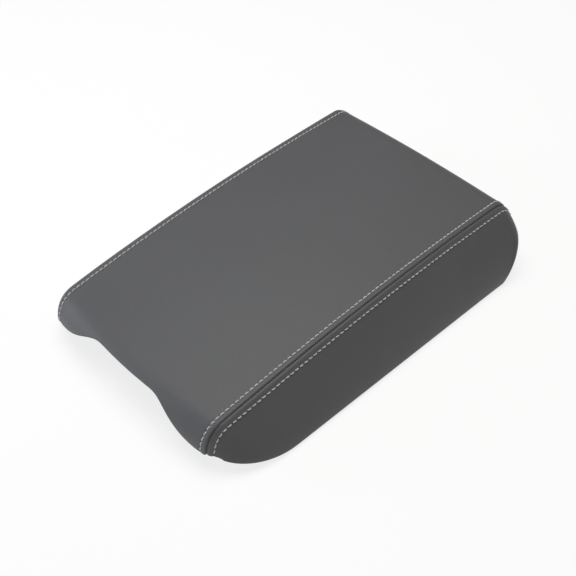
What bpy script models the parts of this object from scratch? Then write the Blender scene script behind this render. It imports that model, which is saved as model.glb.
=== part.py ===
"""Upholstered lid of a car's centre console: sewn leather over a foam pad and a moulded shell.

The lid lies closed on the console. X points to the right, Y to the rear hinge and Z up, and
z = 0 is the top face of the console. All lengths are metres.
"""
import math
from typing import NamedTuple

import bmesh
import bpy
import numpy as np

# Outer form of the padded lid
LID_LENGTH = 0.3135
SEAM_HALF_WIDTH = 0.0835
HEM_HALF_WIDTH = 0.112
HEIGHT_FRONT = 0.034
HEIGHT_REAR = 0.053
CROWN_LONG = 0.0075
CROWN_CROSS = 0.0022
WIDTH_TAPER = 0.030
HEM_LIFT = 0.0004

# Front nose, and the recess cut into its lower edge for the fingers
NOSE_REACH = 0.0178
NOSE_DROP = 0.0210
NOSE_FULLNESS = 2.36
NOSE_BOW = 0.0072
FRONT_HEM_HEIGHT = 0.0144
RECESS_RISE = 0.0184
RECESS_HALF_WIDTH = 0.077
RECESS_EASE = 0.048

# Plan corners, rear edge and the swell of the side panels
FRONT_CORNER = 0.0517
REAR_CORNER = 0.0195
FRONT_SET_BACK = 0.0037
REAR_REACH = 0.0149
REAR_DROP = 0.0174
REAR_HEM_HEIGHT = 0.0109
REAR_UNDERCUT = 0.0135
UNDERCUT_BEND = 1.3
SIDE_FALL_DEG = 54.0
SIDE_SWELL = 0.34
NOSE_FALL_DEG = 62.0
NOSE_SWELL = 0.285
FALL_EASE = 0.050
REAR_FALL_DEG = 26.0
REAR_SWELL = 0.60
REAR_EASE = 0.071
HEM_SWELL = 0.153
PANEL_NOSE_WIDTH = 0.0084

# Leather, foam and shell
LEATHER = 0.0012
FOAM_TOP = 0.008
FOAM_EDGE = 0.0027
FOAM_RAMP = 0.040
SHELL_WALL = 0.0025
RIDGE_CLOSING = 0.36
GAP = 0.0003
PAD_GAP = 0.0005
HEM_GAP = 0.0007

# Folded seam allowance that stands up beside each seam
SEAM_FOLD_WIDTH = 0.005
SEAM_FOLD_EDGE = 0.0065
SEAM_LIP = 0.0014
SEAM_FOLD_RISE = 0.0007

# Inner liner, its screws and its bumpers
LINER_PLATE = 0.0022
LINER_HEIGHT = 0.012
LINER_RIM_BOTTOM = 0.004
LINER_RIM_WALL = 0.002
LINER_CLEARANCE = 0.002
LINER_FRONT_INSET = 0.031
LINER_REAR_INSET = 0.018
BOSS_RADIUS = 0.0045
SCREW_SHANK = 0.0015
SCREW_HEAD = 0.0034
SCREW_HEAD_HEIGHT = 0.0021
SCREW_HEAD_FLAT = 0.0024
SCREW_POINT = 0.0005
SCREW_BITE = 0.008
SLOT_CLEAR = 0.004
LINER_SCREW_SIDE_INSET = 0.040
LINER_SCREW_FRONT_INSET = 0.051
LINER_SCREW_REAR_INSET = 0.041
BUMPER_TO_RIM = 0.003
BUMPER_FRONT_INSET = 0.061
BUMPER_REAR_INSET = 0.049
BUMPER_RADIUS = 0.0065
BUMPER_TIP = 0.0048
BUMPER_TAPER_HEIGHT = 0.0072
BUMPER_NECK = 0.0024
BUMPER_BARB = 0.0036
BUMPER_BARB_HEIGHT = 0.0035

# Rear hinge
HINGE_INSET = 0.019
HINGE_PIN_HEIGHT = 0.009
HINGE_PIN_RADIUS = 0.0025
HINGE_HALF_WIDTH = 0.051
HINGE_STEEL = 0.002
HINGE_LEAF_LENGTH = 0.034
HINGE_LEAF_SET_BACK = 0.012
HINGE_EYE = 0.0052
HINGE_SPRING_WIRE = 0.0008
HINGE_SPRING_TURNS = 5.5
HINGE_SPRING_LEG = 0.024
LEAF_EAR_ARC_DEG = (195, 420)
BASE_EAR_ARC_DEG = (-80, 170)
HINGE_SCREW_XS = (-0.038, -0.014, 0.014, 0.038)
BASE_HOLE_X = 0.028
BASE_HOLE_RADIUS = 0.0027

# Front latch
LATCH_INSET = 0.053
LATCH_PIN_HEIGHT = 0.013
LATCH_PIN_RADIUS = 0.002
LATCH_HALF_WIDTH = 0.0385
LATCH_CHEEK = 0.0025
LATCH_CHEEK_HALF_LENGTH = 0.010
LATCH_CHEEK_BOTTOM = 0.005
LATCH_ROOF_HEIGHT = 0.0215
LATCH_ROOF_FRONT = 0.014
LATCH_ROOF_REAR = 0.022
LATCH_SPRING_WIRE = 0.00045
LATCH_SPRING_TURNS = 5.5
LATCH_SPRING_FRONT_LEG = 0.013
LATCH_SPRING_REAR_LEG = 0.010
LATCH_SCREW_X = 0.026
PADDLE_PLATE = 0.0025
PADDLE_REACH = 0.026
PADDLE_REAR = 0.005
PADDLE_LIP_DROP = 0.0035
PADDLE_LIP_SLOPE = 0.0015
PADDLE_LUG = 0.0042
PADDLE_LUG_WIDTH = 0.007
PADDLE_LUG_FOOT = 0.0055
PADDLE_LUG_ARC_DEG = (-10, 190)
PADDLE_SHOULDER = 0.0006
HOOK_HALF_WIDTH = 0.007
HOOK_BOTTOM = 0.0025
HOOK_NOSE = 0.008

# Pins' heads and clips
PIN_HEAD_EXTRA = 0.0015
PIN_HEAD_LENGTH = 0.0012

# How far a cutter runs past the piece it cuts
OVERRUN = 0.020

# Rows along the lid and columns across it
NOSE_ROWS = 8
TOP_ROWS = 6
REAR_ROWS = 6
TOP_CELLS = 12
SIDE_CELLS = 5
CURVE_SAMPLES = 96
ROUND_SEGMENTS = 14
COIL_SEGMENTS = 8
ARC_POINTS = 12

FRONT = -LID_LENGTH / 2
REAR = LID_LENGTH / 2
REAR_FOOT = REAR - REAR_UNDERCUT
HINGE_Y = REAR_FOOT - HINGE_INSET
LATCH_Y = FRONT + LATCH_INSET
HINGE_SPRING_RADIUS = HINGE_PIN_RADIUS + 2 * GAP + HINGE_SPRING_WIRE
LATCH_SPRING_RADIUS = LATCH_PIN_RADIUS + 2 * GAP + LATCH_SPRING_WIRE
HINGE_PLATE_BOTTOM = HINGE_PIN_HEIGHT + HINGE_SPRING_RADIUS + HINGE_SPRING_WIRE + GAP
LINER_TOP = LINER_HEIGHT + LINER_PLATE
LINER_SCREW_X = HEM_HALF_WIDTH - LINER_SCREW_SIDE_INSET
X_AXIS = (1.0, 0.0, 0.0)


class Layer(NamedTuple):
    """Depth of a surface below the outer skin: over the flat top, and round the edges."""

    top: float
    edge: float


SKIN_OUT = Layer(0.0, 0.0)
SKIN_IN = Layer(LEATHER, LEATHER)
PAD_OUT = Layer(SKIN_IN.top + PAD_GAP, SKIN_IN.edge + PAD_GAP)
PAD_IN = Layer(PAD_OUT.top + FOAM_TOP, PAD_OUT.edge + FOAM_EDGE)
SHELL_OUT = Layer(PAD_IN.top + PAD_GAP, PAD_IN.edge + PAD_GAP)
SHELL_IN = Layer(SHELL_OUT.top + SHELL_WALL, SHELL_OUT.edge + SHELL_WALL)
LINER_FIT = Layer(SHELL_IN.top + LINER_CLEARANCE, SHELL_IN.edge + LINER_CLEARANCE)


def smooth(u):
    """Ease from 0 to 1 as u goes from 0 to 1."""
    u = np.clip(u, 0.0, 1.0)
    return u * u * (3 - 2 * u)


def top_height(x, y):
    """Height of the outer skin at (x, y) between the two seams."""
    wedge = HEIGHT_FRONT + (HEIGHT_REAR - HEIGHT_FRONT) * (y / LID_LENGTH + 0.5)
    crown = CROWN_LONG * (1 - (2 * y / LID_LENGTH) ** 2)
    return wedge + crown + CROWN_CROSS * (1 - (x / SEAM_HALF_WIDTH) ** 2)


def front_hem(x):
    """Height of the nose's lower edge, which rises over the finger recess."""
    rise = smooth((RECESS_HALF_WIDTH - abs(x)) / RECESS_EASE)
    return FRONT_HEM_HEIGHT + RECESS_RISE * rise


def distances(curve):
    """Distance of each point of a curve from its start, along the curve."""
    steps = np.linalg.norm(np.diff(curve, axis=0), axis=1)
    return np.concatenate([[0.0], np.cumsum(steps)])


def read_along(curve, wanted):
    """Read points of a curve at given distances from its start."""
    along = distances(curve)
    return np.stack([np.interp(wanted, along, curve[:, k]) for k in range(curve.shape[1])], axis=1)


def resample(curve, count, start=0.0, end=0.0):
    """Read count evenly spaced points along a curve, after trimming both of its ends."""
    return read_along(curve, np.linspace(start, distances(curve)[-1] - end, count))


def nose_curve(x, layer):
    """The nose in the Y-Z plane, from its lower edge to the flat top."""
    front = FRONT + NOSE_BOW * (x / SEAM_HALF_WIDTH) ** 2
    centre = top_height(x, front) - NOSE_DROP
    rise = (front_hem(x) - centre) / NOSE_DROP
    start = math.asin(min(max(rise, 0.0), 1.0) ** (NOSE_FULLNESS / 2))
    angle = np.linspace(start, math.pi / 2, CURVE_SAMPLES)
    forward = np.cos(angle) ** (2 / NOSE_FULLNESS)
    upward = np.sin(angle) ** (2 / NOSE_FULLNESS)
    y = front + layer.edge + (NOSE_REACH - layer.edge) * (1 - forward)
    z = top_height(x, y) - layer.edge - (NOSE_DROP - layer.edge) * (1 - upward)
    if rise < 0:
        y = np.concatenate([[y[0]], y])
        z = np.concatenate([[front_hem(x)], z])
    return np.stack([y, z], axis=1)


def rear_curve(x, layer):
    """The rear in the Y-Z plane: a rounded edge, then the face cut back to the rear hem."""
    angle = np.linspace(math.pi / 2, 0.0, CURVE_SAMPLES)
    y = REAR - REAR_REACH + (REAR_REACH - layer.edge) * np.cos(angle)
    z = top_height(x, y) - layer.edge - (REAR_DROP - layer.edge) * (1 - np.sin(angle))
    down = np.linspace(0.0, 1.0, CURVE_SAMPLES)[1:]
    y = np.concatenate([y, y[-1] - REAR_UNDERCUT * down ** UNDERCUT_BEND])
    z = np.concatenate([z, z[-1] + (REAR_HEM_HEIGHT - z[-1]) * down])
    return np.stack([y, z], axis=1)


def layer_height(x, y, layer):
    """Height of a layer between nose and rear edge, where the foam grows to its full depth."""
    near_end = np.minimum(y - FRONT - NOSE_REACH, REAR - REAR_REACH - y)
    depth = layer.edge + (layer.top - layer.edge) * smooth(near_end / FOAM_RAMP)
    return top_height(x, y) - depth


def top_curve(x, layer):
    """The top of a layer in the Y-Z plane, between nose and rear edge."""
    y = np.linspace(FRONT + NOSE_REACH, REAR - REAR_REACH, TOP_ROWS + 2)[1:-1]
    return np.stack([y, layer_height(x, y, layer)], axis=1)


def strip(x, layer, trim=0.0):
    """One lengthwise line of the lid at x, as points (x, y, z) from front to rear."""
    nose = resample(nose_curve(x, layer), NOSE_ROWS, start=trim)
    rear = resample(rear_curve(x, layer), REAR_ROWS, end=trim)
    line = np.concatenate([nose, top_curve(x, layer), rear])
    drawn_in = x * (1 - RIDGE_CLOSING * layer.edge / SEAM_HALF_WIDTH)
    return np.column_stack([np.full(len(line), drawn_in), line])


def hem(layer):
    """The lower edge of the right side panel, one point for each row of the strip."""
    reach = HEM_HALF_WIDTH - SEAM_HALF_WIDTH
    first = math.asin(PANEL_NOSE_WIDTH / reach)
    front_y = FRONT + FRONT_SET_BACK + NOSE_BOW + FRONT_CORNER
    turn = np.linspace(first, math.pi / 2, NOSE_ROWS)
    rise = 1 - smooth(turn / (math.pi / 2))
    front = np.stack([SEAM_HALF_WIDTH + (reach - layer.edge) * np.sin(turn),
                      front_y - (FRONT_CORNER - layer.edge) * np.cos(turn),
                      HEM_LIFT + (FRONT_HEM_HEIGHT - HEM_LIFT) * rise], axis=1)
    rear_y = REAR_FOOT - REAR_CORNER
    y = np.linspace(front_y, rear_y, TOP_ROWS + 2)[1:-1]
    flank = np.stack([np.full(TOP_ROWS, HEM_HALF_WIDTH - layer.edge), y,
                      np.full(TOP_ROWS, HEM_LIFT)], axis=1)
    turn = np.linspace(math.pi / 2, first, REAR_ROWS)
    rise = 1 - smooth(turn / (math.pi / 2))
    rear = np.stack([SEAM_HALF_WIDTH + (reach - layer.edge) * np.sin(turn),
                     rear_y + (REAR_CORNER - layer.edge) * np.cos(turn),
                     HEM_LIFT + (REAR_HEM_HEIGHT - HEM_LIFT) * rise], axis=1)
    return np.concatenate([front, flank, rear])


def side_curves(layer):
    """The swelling section of the right side at each row, sampled from the seam to the hem."""
    seam = strip(SEAM_HALF_WIDTH, layer)
    foot = hem(layer)
    along = np.gradient(seam, axis=0)
    along /= np.linalg.norm(along, axis=1, keepdims=True)
    outward = np.stack([np.zeros(len(along)), -along[:, 2], along[:, 1]], axis=1)
    past_nose = np.clip((seam[:, 1] - FRONT) / FALL_EASE, 0.0, 1.0)[:, None]
    near_rear = np.clip(1 - (REAR - seam[:, 1]) / REAR_EASE, 0.0, 1.0)[:, None]
    fall = np.radians(NOSE_FALL_DEG + (SIDE_FALL_DEG - NOSE_FALL_DEG) * past_nose
                      + (REAR_FALL_DEG - SIDE_FALL_DEG) * near_rear)
    swell = (NOSE_SWELL + (SIDE_SWELL - NOSE_SWELL) * past_nose
             + (REAR_SWELL - SIDE_SWELL) * near_rear)
    leave = np.cos(fall) * np.array(X_AXIS) - np.sin(fall) * outward
    span = np.linalg.norm(foot - seam, axis=1, keepdims=True)
    first = seam + leave * swell * span
    last = foot + np.array([0.0, 0.0, 1.0]) * HEM_SWELL * span
    t = np.linspace(0.0, 1.0, CURVE_SAMPLES)[:, None, None]
    return ((1 - t) ** 3 * seam + 3 * (1 - t) ** 2 * t * first
            + 3 * (1 - t) * t ** 2 * last + t ** 3 * foot)


def side_grid(layer, near_seam, trim=0.0):
    """Grid of the right side: rows along the lid, columns from the seam to the hem."""
    curves = side_curves(layer)
    rows = []
    for row in range(curves.shape[1]):
        curve = curves[:, row]
        last = distances(curve)[-1] - trim
        spread = np.linspace(near_seam[-1], last, SIDE_CELLS + 1)[1:]
        rows.append(read_along(curve, np.concatenate([near_seam, spread])))
    return trim_rows(np.array(rows), trim)


def trim_rows(grid, trim):
    """Draw the first and last row of a grid back along the lid by trim."""
    grid = grid.copy()
    for end, neighbour in ((0, 1), (-1, -2)):
        inward = grid[neighbour] - grid[end]
        inward /= np.linalg.norm(inward, axis=1, keepdims=True)
        grid[end] += inward * trim
    return grid


def top_grid(layer, xs, trim=0.0):
    """Grid of the top: rows from front to rear, one column for each x."""
    return np.stack([strip(x, layer, trim) for x in xs], axis=1)


def taper(grid):
    """Widen the plan towards the rear."""
    grid = grid.copy()
    grid[..., 0] *= 1 + WIDTH_TAPER * grid[..., 1] / LID_LENGTH
    return grid


def mirrored(grid):
    """The left-hand twin of a right-hand grid, its columns still running left to right."""
    twin = grid[:, ::-1].copy()
    twin[..., 0] *= -1
    return twin


def raised(grid, rise):
    """Lift each column of a grid along its surface normal."""
    along = np.gradient(grid, axis=0)
    across = np.gradient(grid, axis=1)
    normal = np.cross(across, along)
    normal /= np.linalg.norm(normal, axis=2, keepdims=True)
    return grid + normal * np.asarray(rise)[None, :, None]


def material(name, colour, roughness, metallic=0.0):
    """A plain Principled BSDF material."""
    made = bpy.data.materials.new(name)
    made.use_nodes = True
    shader = made.node_tree.nodes["Principled BSDF"]
    shader.inputs["Base Color"].default_value = (*colour, 1.0)
    shader.inputs["Roughness"].default_value = roughness
    shader.inputs["Metallic"].default_value = metallic
    return made


def add_object(name, mesh, finish, smooth_angle=None):
    """Link a mesh as a named object with its material."""
    mesh.materials.append(finish)
    if smooth_angle is not None:
        mesh.shade_smooth()
        mesh.set_sharp_from_angle(angle=math.radians(smooth_angle))
    made = bpy.data.objects.new(name, mesh)
    bpy.context.scene.collection.objects.link(made)
    return made


def finish_bmesh(bm, name):
    """Merge doubles, turn all faces outwards and write a bmesh to a new mesh."""
    bmesh.ops.remove_doubles(bm, verts=bm.verts, dist=1e-6)
    bmesh.ops.recalc_face_normals(bm, faces=bm.faces)
    mesh = bpy.data.meshes.new(name)
    bm.to_mesh(mesh)
    bm.free()
    return mesh


def layered_solid(name, outer, inner, finish):
    """Closed solid between two grids of equal size, joined by a wall round the border.

    Every cell is split along the same diagonal, mirrored from left to right, so that
    neighbouring layers stay parallel.
    """
    bm = bmesh.new()
    skins = [[[bm.verts.new(p) for p in row] for row in grid] for grid in (outer, inner)]
    rows, columns = outer.shape[:2]
    border = [(i, 0) for i in range(rows)]
    border += [(rows - 1, j) for j in range(1, columns)]
    border += [(i, columns - 1) for i in range(rows - 2, -1, -1)]
    border += [(0, j) for j in range(columns - 2, 0, -1)]
    for skin in skins:
        for i in range(rows - 1):
            for j in range(columns - 1):
                cell = [skin[i][j], skin[i][j + 1], skin[i + 1][j + 1], skin[i + 1][j]]
                if outer[i, j, 0] + outer[i, j + 1, 0] > 0:
                    cell = cell[1:] + cell[:1]
                bm.faces.new(cell[:3])
                bm.faces.new((cell[0], cell[2], cell[3]))
    for (i, j), (k, m) in zip(border, border[1:] + border[:1]):
        bm.faces.new((skins[0][i][j], skins[0][k][m], skins[1][k][m], skins[1][i][j]))
    return add_object(name, finish_bmesh(bm, name), finish, smooth_angle=50)


def with_turned_hem(skin, turned, hem_column):
    """Add the leather that is folded under the edge: both end rows, and a hem column."""
    wide = np.concatenate([turned[:1], skin, turned[-1:]])
    if hem_column:
        flap = np.concatenate([turned[:1, -1:], turned[:, -1:], turned[-1:, -1:]])
        wide = np.concatenate([wide, flap], axis=1)
    return wide


def cover_top_panel(leather):
    """The top panel, sewn between both seams and wrapped over the nose and the rear edge."""
    half = SEAM_HALF_WIDTH - GAP / 2
    beside = [half, SEAM_HALF_WIDTH - SEAM_LIP, SEAM_HALF_WIDTH - SEAM_FOLD_WIDTH,
              SEAM_HALF_WIDTH - SEAM_FOLD_EDGE]
    middle = np.linspace(-beside[-1], beside[-1], TOP_CELLS + 1)[1:-1]
    xs = [-x for x in beside] + list(middle) + beside[::-1]
    flat = [0.0] * len(middle)
    rise = [0.0, SEAM_FOLD_RISE, SEAM_FOLD_RISE, 0.0]
    outer = raised(taper(top_grid(SKIN_OUT, xs)), rise + flat + rise[::-1])
    turned = taper(top_grid(SHELL_IN, xs))
    inner = taper(top_grid(SKIN_IN, xs, LEATHER))
    turned_in = taper(top_grid(SHELL_IN, xs, LEATHER))
    return layered_solid("cover_top_panel", with_turned_hem(outer, turned, False),
                         with_turned_hem(inner, turned_in, False), leather)


def cover_side_panels(leather):
    """The two side panels, which run round the plan corners and swell out to the hem."""
    near_seam = [GAP / 2, SEAM_LIP, SEAM_FOLD_WIDTH, SEAM_FOLD_EDGE]
    rise = [0.0, SEAM_FOLD_RISE, SEAM_FOLD_RISE, 0.0] + [0.0] * SIDE_CELLS
    outer = raised(taper(side_grid(SKIN_OUT, near_seam)), rise)
    turned = taper(side_grid(SHELL_IN, near_seam))
    inner = taper(side_grid(SKIN_IN, near_seam, LEATHER))
    turned_in = taper(side_grid(SHELL_IN, near_seam, LEATHER))
    skin = with_turned_hem(outer, turned, True)
    lining = with_turned_hem(inner, turned_in, True)
    layered_solid("cover_side_panel_right", skin, lining, leather)
    layered_solid("cover_side_panel_left", mirrored(skin), mirrored(lining), leather)


def full_grid(layer):
    """One grid over the whole lid, from the left hem to the right hem."""
    edge = SEAM_HALF_WIDTH - SEAM_FOLD_EDGE
    xs = [-SEAM_HALF_WIDTH, *np.linspace(-edge, edge, TOP_CELLS + 1), SEAM_HALF_WIDTH]
    trim = LEATHER + HEM_GAP
    right = side_grid(layer, [0.0, SEAM_FOLD_EDGE], trim)[:, 1:]
    return taper(np.concatenate([mirrored(right), top_grid(layer, xs, trim), right], axis=1))


def turned_mesh(name, rings, axis="Z"):
    """Solid of revolution about an axis through the origin, from (radius, place) rings."""
    bm = bmesh.new()
    loops = []
    for radius, place in rings:
        loop = []
        for k in range(ROUND_SEGMENTS):
            turn = 2 * math.pi * k / ROUND_SEGMENTS
            a, b = radius * math.cos(turn), radius * math.sin(turn)
            loop.append(bm.verts.new((a, b, place) if axis == "Z" else (place, a, b)))
        loops.append(loop)
    for low, high in zip(loops, loops[1:]):
        for k in range(ROUND_SEGMENTS):
            following = (k + 1) % ROUND_SEGMENTS
            bm.faces.new((low[k], low[following], high[following], high[k]))
    bm.faces.new(loops[0])
    bm.faces.new(loops[-1])
    return finish_bmesh(bm, name)


def place(made, x, y, z):
    """Set an object's location and give it back."""
    made.location = (x, y, z)
    return made


def prism_x(name, outline, x0, x1):
    """Mesh of a Y-Z outline extruded from x0 to x1."""
    bm = bmesh.new()
    face = bm.faces.new([bm.verts.new((x0, y, z)) for y, z in outline])
    moved = bmesh.ops.extrude_face_region(bm, geom=[face])["geom"]
    bmesh.ops.translate(bm, verts=[v for v in moved if isinstance(v, bmesh.types.BMVert)],
                        vec=(x1 - x0, 0.0, 0.0))
    return finish_bmesh(bm, name)


def box_mesh(name, low, high):
    """Mesh of a box between two corners."""
    bm = bmesh.new()
    bmesh.ops.create_cube(bm, size=1.0)
    size = [h - l for l, h in zip(low, high)]
    middle = [(l + h) / 2 for l, h in zip(low, high)]
    bmesh.ops.scale(bm, vec=size, verts=bm.verts)
    bmesh.ops.translate(bm, vec=middle, verts=bm.verts)
    return finish_bmesh(bm, name)


def as_cutter(mesh, spot=(0.0, 0.0, 0.0)):
    """A hidden helper object for a Boolean."""
    helper = bpy.data.objects.new(mesh.name, mesh)
    bpy.context.scene.collection.objects.link(helper)
    helper.location = spot
    helper.hide_render = True
    helper.display_type = "WIRE"
    return helper


def combine(made, helper, operation):
    """Union or difference of an object with a helper."""
    step = made.modifiers.new(f"{operation.lower()} {helper.name}", "BOOLEAN")
    step.operation = operation
    step.solver = "EXACT"
    step.object = helper


def cut_round(made, spot, radius, depth):
    """Cut a round hole upwards from spot."""
    mesh = turned_mesh(f"{made.name}_drill", [(radius, 0.0), (radius, depth)])
    combine(made, as_cutter(mesh, spot), "DIFFERENCE")


def cut_box(made, low, high):
    """Cut a box-shaped opening."""
    combine(made, as_cutter(box_mesh(f"{made.name}_slot", low, high)), "DIFFERENCE")


def disc_outline(y, z, radius, arc_deg):
    """Points of an arc in the Y-Z plane."""
    turns = [math.radians(a) for a in np.linspace(*arc_deg, ARC_POINTS)]
    return [(y + radius * math.cos(t), z + radius * math.sin(t)) for t in turns]


def liner_screw_spots():
    """Where the screws that hold the liner go, as (x, y)."""
    front = FRONT + LINER_SCREW_FRONT_INSET
    rear = REAR_FOOT - LINER_SCREW_REAR_INSET
    return [(side * LINER_SCREW_X, y) for y in (front, (front + rear) / 2, rear)
            for side in (-1, 1)]


def hinge_screw_spots():
    """Where the screws of the hinge's upper leaf go, as (x, y)."""
    y = HINGE_Y - (HINGE_LEAF_SET_BACK + HINGE_LEAF_LENGTH) / 2
    return [(x, y) for x in HINGE_SCREW_XS]


def latch_screw_spots():
    """Where the screws of the latch housing go, as (x, y)."""
    y = LATCH_Y + LATCH_ROOF_REAR - SCREW_HEAD - GAP
    return [(side * LATCH_SCREW_X, y) for side in (-1, 1)]


def boss_table():
    """Each boss of the shell as (x, y, height of its lower face)."""
    liner = [(x, y, LINER_TOP + GAP) for x, y in liner_screw_spots()]
    hinge_top = HINGE_PLATE_BOTTOM + HINGE_STEEL
    hinge = [(x, y, hinge_top + GAP) for x, y in hinge_screw_spots()]
    latch_top = LATCH_ROOF_HEIGHT + LATCH_CHEEK
    latch = [(x, y, latch_top + GAP) for x, y in latch_screw_spots()]
    return liner + hinge + latch


def lid_shell(plastic):
    """Rigid moulded shell under the foam, with a screw boss at each fastening."""
    shell = layered_solid("lid_shell", full_grid(SHELL_OUT), full_grid(SHELL_IN), plastic)
    for x, y, bottom in boss_table():
        roof = (layer_height(x, y, SHELL_OUT) + layer_height(x, y, SHELL_IN)) / 2
        boss = turned_mesh("boss", [(BOSS_RADIUS, 0.0), (BOSS_RADIUS, roof - bottom)])
        combine(shell, as_cutter(boss, (x, y, bottom)), "UNION")
    for x, y, bottom in boss_table():
        cut_round(shell, (x, y, bottom - GAP), SCREW_SHANK + GAP, SCREW_BITE + 2 * GAP)


def screw(name, steel, spot, plate, bite=SCREW_BITE):
    """Pan-head screw that comes from below through a plate of given thickness."""
    x, y, underside = spot
    tip = plate + bite
    rings = [(SCREW_HEAD_FLAT, -GAP - SCREW_HEAD_HEIGHT), (SCREW_HEAD, -GAP - SCREW_HEAD_HEIGHT / 2),
             (SCREW_HEAD, -GAP), (SCREW_SHANK, -GAP), (SCREW_SHANK, tip - SCREW_SHANK),
             (SCREW_POINT, tip)]
    made = add_object(name, turned_mesh(name, rings), steel, smooth_angle=40)
    return place(made, x, y, underside)


def liner_half_width(y):
    """Half width of the liner at y, just clear of the shell's sloping inner wall."""
    curves = taper(side_curves(LINER_FIT))
    wall = []
    for row in range(curves.shape[1]):
        curve = curves[::-1, row]
        if curve[0, 2] < LINER_TOP < curve[-1, 2]:
            wall.append([np.interp(LINER_TOP, curve[:, 2], curve[:, k]) for k in (1, 0)])
    wall = np.array(sorted(wall))
    return float(np.interp(y, wall[:, 0], wall[:, 1]))


def liner_outline():
    """Plan outline of the liner, which follows the inside of the shell's walls."""
    ys = np.linspace(FRONT + LINER_FRONT_INSET, REAR_FOOT - LINER_REAR_INSET, TOP_ROWS + NOSE_ROWS)
    right = [(liner_half_width(y), float(y)) for y in ys]
    return right + [(-x, y) for x, y in right[::-1]]


def inner_liner(plastic):
    """Moulded liner: a plate with a rim that hangs down round it, cut out for hinge and latch."""
    bm = bmesh.new()
    low = bm.faces.new([bm.verts.new((x, y, LINER_RIM_BOTTOM)) for x, y in liner_outline()])
    made = bmesh.ops.extrude_face_region(bm, geom=[low], use_keep_orig=True)["geom"]
    lifted = [v for v in made if isinstance(v, bmesh.types.BMVert)]
    bmesh.ops.translate(bm, verts=lifted, vec=(0.0, 0.0, LINER_TOP - LINER_RIM_BOTTOM))
    bmesh.ops.recalc_face_normals(bm, faces=bm.faces)
    floor = min(bm.faces, key=lambda face: face.calc_center_median().z)
    bmesh.ops.inset_region(bm, faces=[floor], thickness=LINER_RIM_WALL, depth=0.0)
    bmesh.ops.translate(bm, verts=floor.verts,
                        vec=(0.0, 0.0, LINER_HEIGHT - LINER_RIM_BOTTOM))
    liner = add_object("inner_liner", finish_bmesh(bm, "inner_liner"), plastic, smooth_angle=40)
    above = LINER_TOP + SLOT_CLEAR
    half = LATCH_HALF_WIDTH + SLOT_CLEAR
    cut_box(liner, (-half, FRONT, 0.0), (half, LATCH_Y + LATCH_ROOF_REAR + SLOT_CLEAR, above))
    half = HINGE_HALF_WIDTH + SLOT_CLEAR
    cut_box(liner, (-half, HINGE_Y - HINGE_LEAF_LENGTH - SLOT_CLEAR, 0.0), (half, REAR, above))
    for x, y in liner_screw_spots():
        cut_round(liner, (x, y, LINER_HEIGHT - GAP), SCREW_SHANK + GAP, LINER_PLATE + 2 * GAP)
    for x, y in bumper_spots():
        cut_round(liner, (x, y, LINER_HEIGHT - GAP), BUMPER_NECK + GAP, LINER_PLATE + 2 * GAP)


def bumper_spots():
    """Where the four rubber bumpers go, as (x, y)."""
    front = FRONT + BUMPER_FRONT_INSET
    rear = REAR_FOOT - BUMPER_REAR_INSET
    inset = LINER_RIM_WALL + BUMPER_RADIUS + BUMPER_TO_RIM
    return [(side * (liner_half_width(y) - inset), y) for y in (front, rear) for side in (-1, 1)]


def bumpers(rubber):
    """Rubber bumpers, whose necks are pulled up through the liner."""
    top = LINER_TOP + GAP
    rings = [(BUMPER_TIP, 0.0), (BUMPER_RADIUS, BUMPER_TAPER_HEIGHT),
             (BUMPER_RADIUS, LINER_HEIGHT - GAP), (BUMPER_NECK, LINER_HEIGHT - GAP),
             (BUMPER_NECK, top), (BUMPER_BARB, top), (BUMPER_NECK, top + BUMPER_BARB_HEIGHT)]
    names = ("bumper_front_left", "bumper_front_right", "bumper_rear_left", "bumper_rear_right")
    for name, (x, y) in zip(names, bumper_spots()):
        made = add_object(name, turned_mesh(name, rings), rubber, smooth_angle=40)
        place(made, x, y, 0.0)


def pin(name, steel, radius, half_length, spot):
    """Hinge pin along X with a head at its left end."""
    head = radius + PIN_HEAD_EXTRA
    end = half_length + 2 * PIN_HEAD_LENGTH
    rings = [(head, -half_length - GAP - PIN_HEAD_LENGTH), (head, -half_length - GAP),
             (radius, -half_length - GAP), (radius, end)]
    return place(add_object(name, turned_mesh(name, rings, "X"), steel, 40), *spot)


def pin_clip(name, steel, radius, half_length, spot):
    """Push-on ring that holds a pin at its right end."""
    bore = radius + GAP
    outer = radius + PIN_HEAD_EXTRA
    near = half_length + GAP
    far = near + PIN_HEAD_LENGTH
    ring = add_object(name, turned_mesh(name, [(outer, near), (outer, far)], "X"), steel, 40)
    hole = turned_mesh(f"{name}_bore", [(bore, near - GAP), (bore, far + GAP)], "X")
    combine(ring, as_cutter(hole, spot), "DIFFERENCE")
    return place(ring, *spot)


def bore_x(made, spot, radius, x0, x1):
    """Cut a bore along X through an object."""
    mesh = turned_mesh(f"{made.name}_bore", [(radius, x0), (radius, x1)], "X")
    combine(made, as_cutter(mesh, spot), "DIFFERENCE")


def u_bracket(name, outline, half, wall, hollow, finish):
    """Bracket with two end walls: a full-width prism, hollowed between its walls."""
    made = add_object(name, prism_x(name, outline, -half, half), finish, 40)
    inner = half - wall
    combine(made, as_cutter(prism_x(f"{name}_hollow", hollow, -inner, inner)), "DIFFERENCE")
    return made


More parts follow.
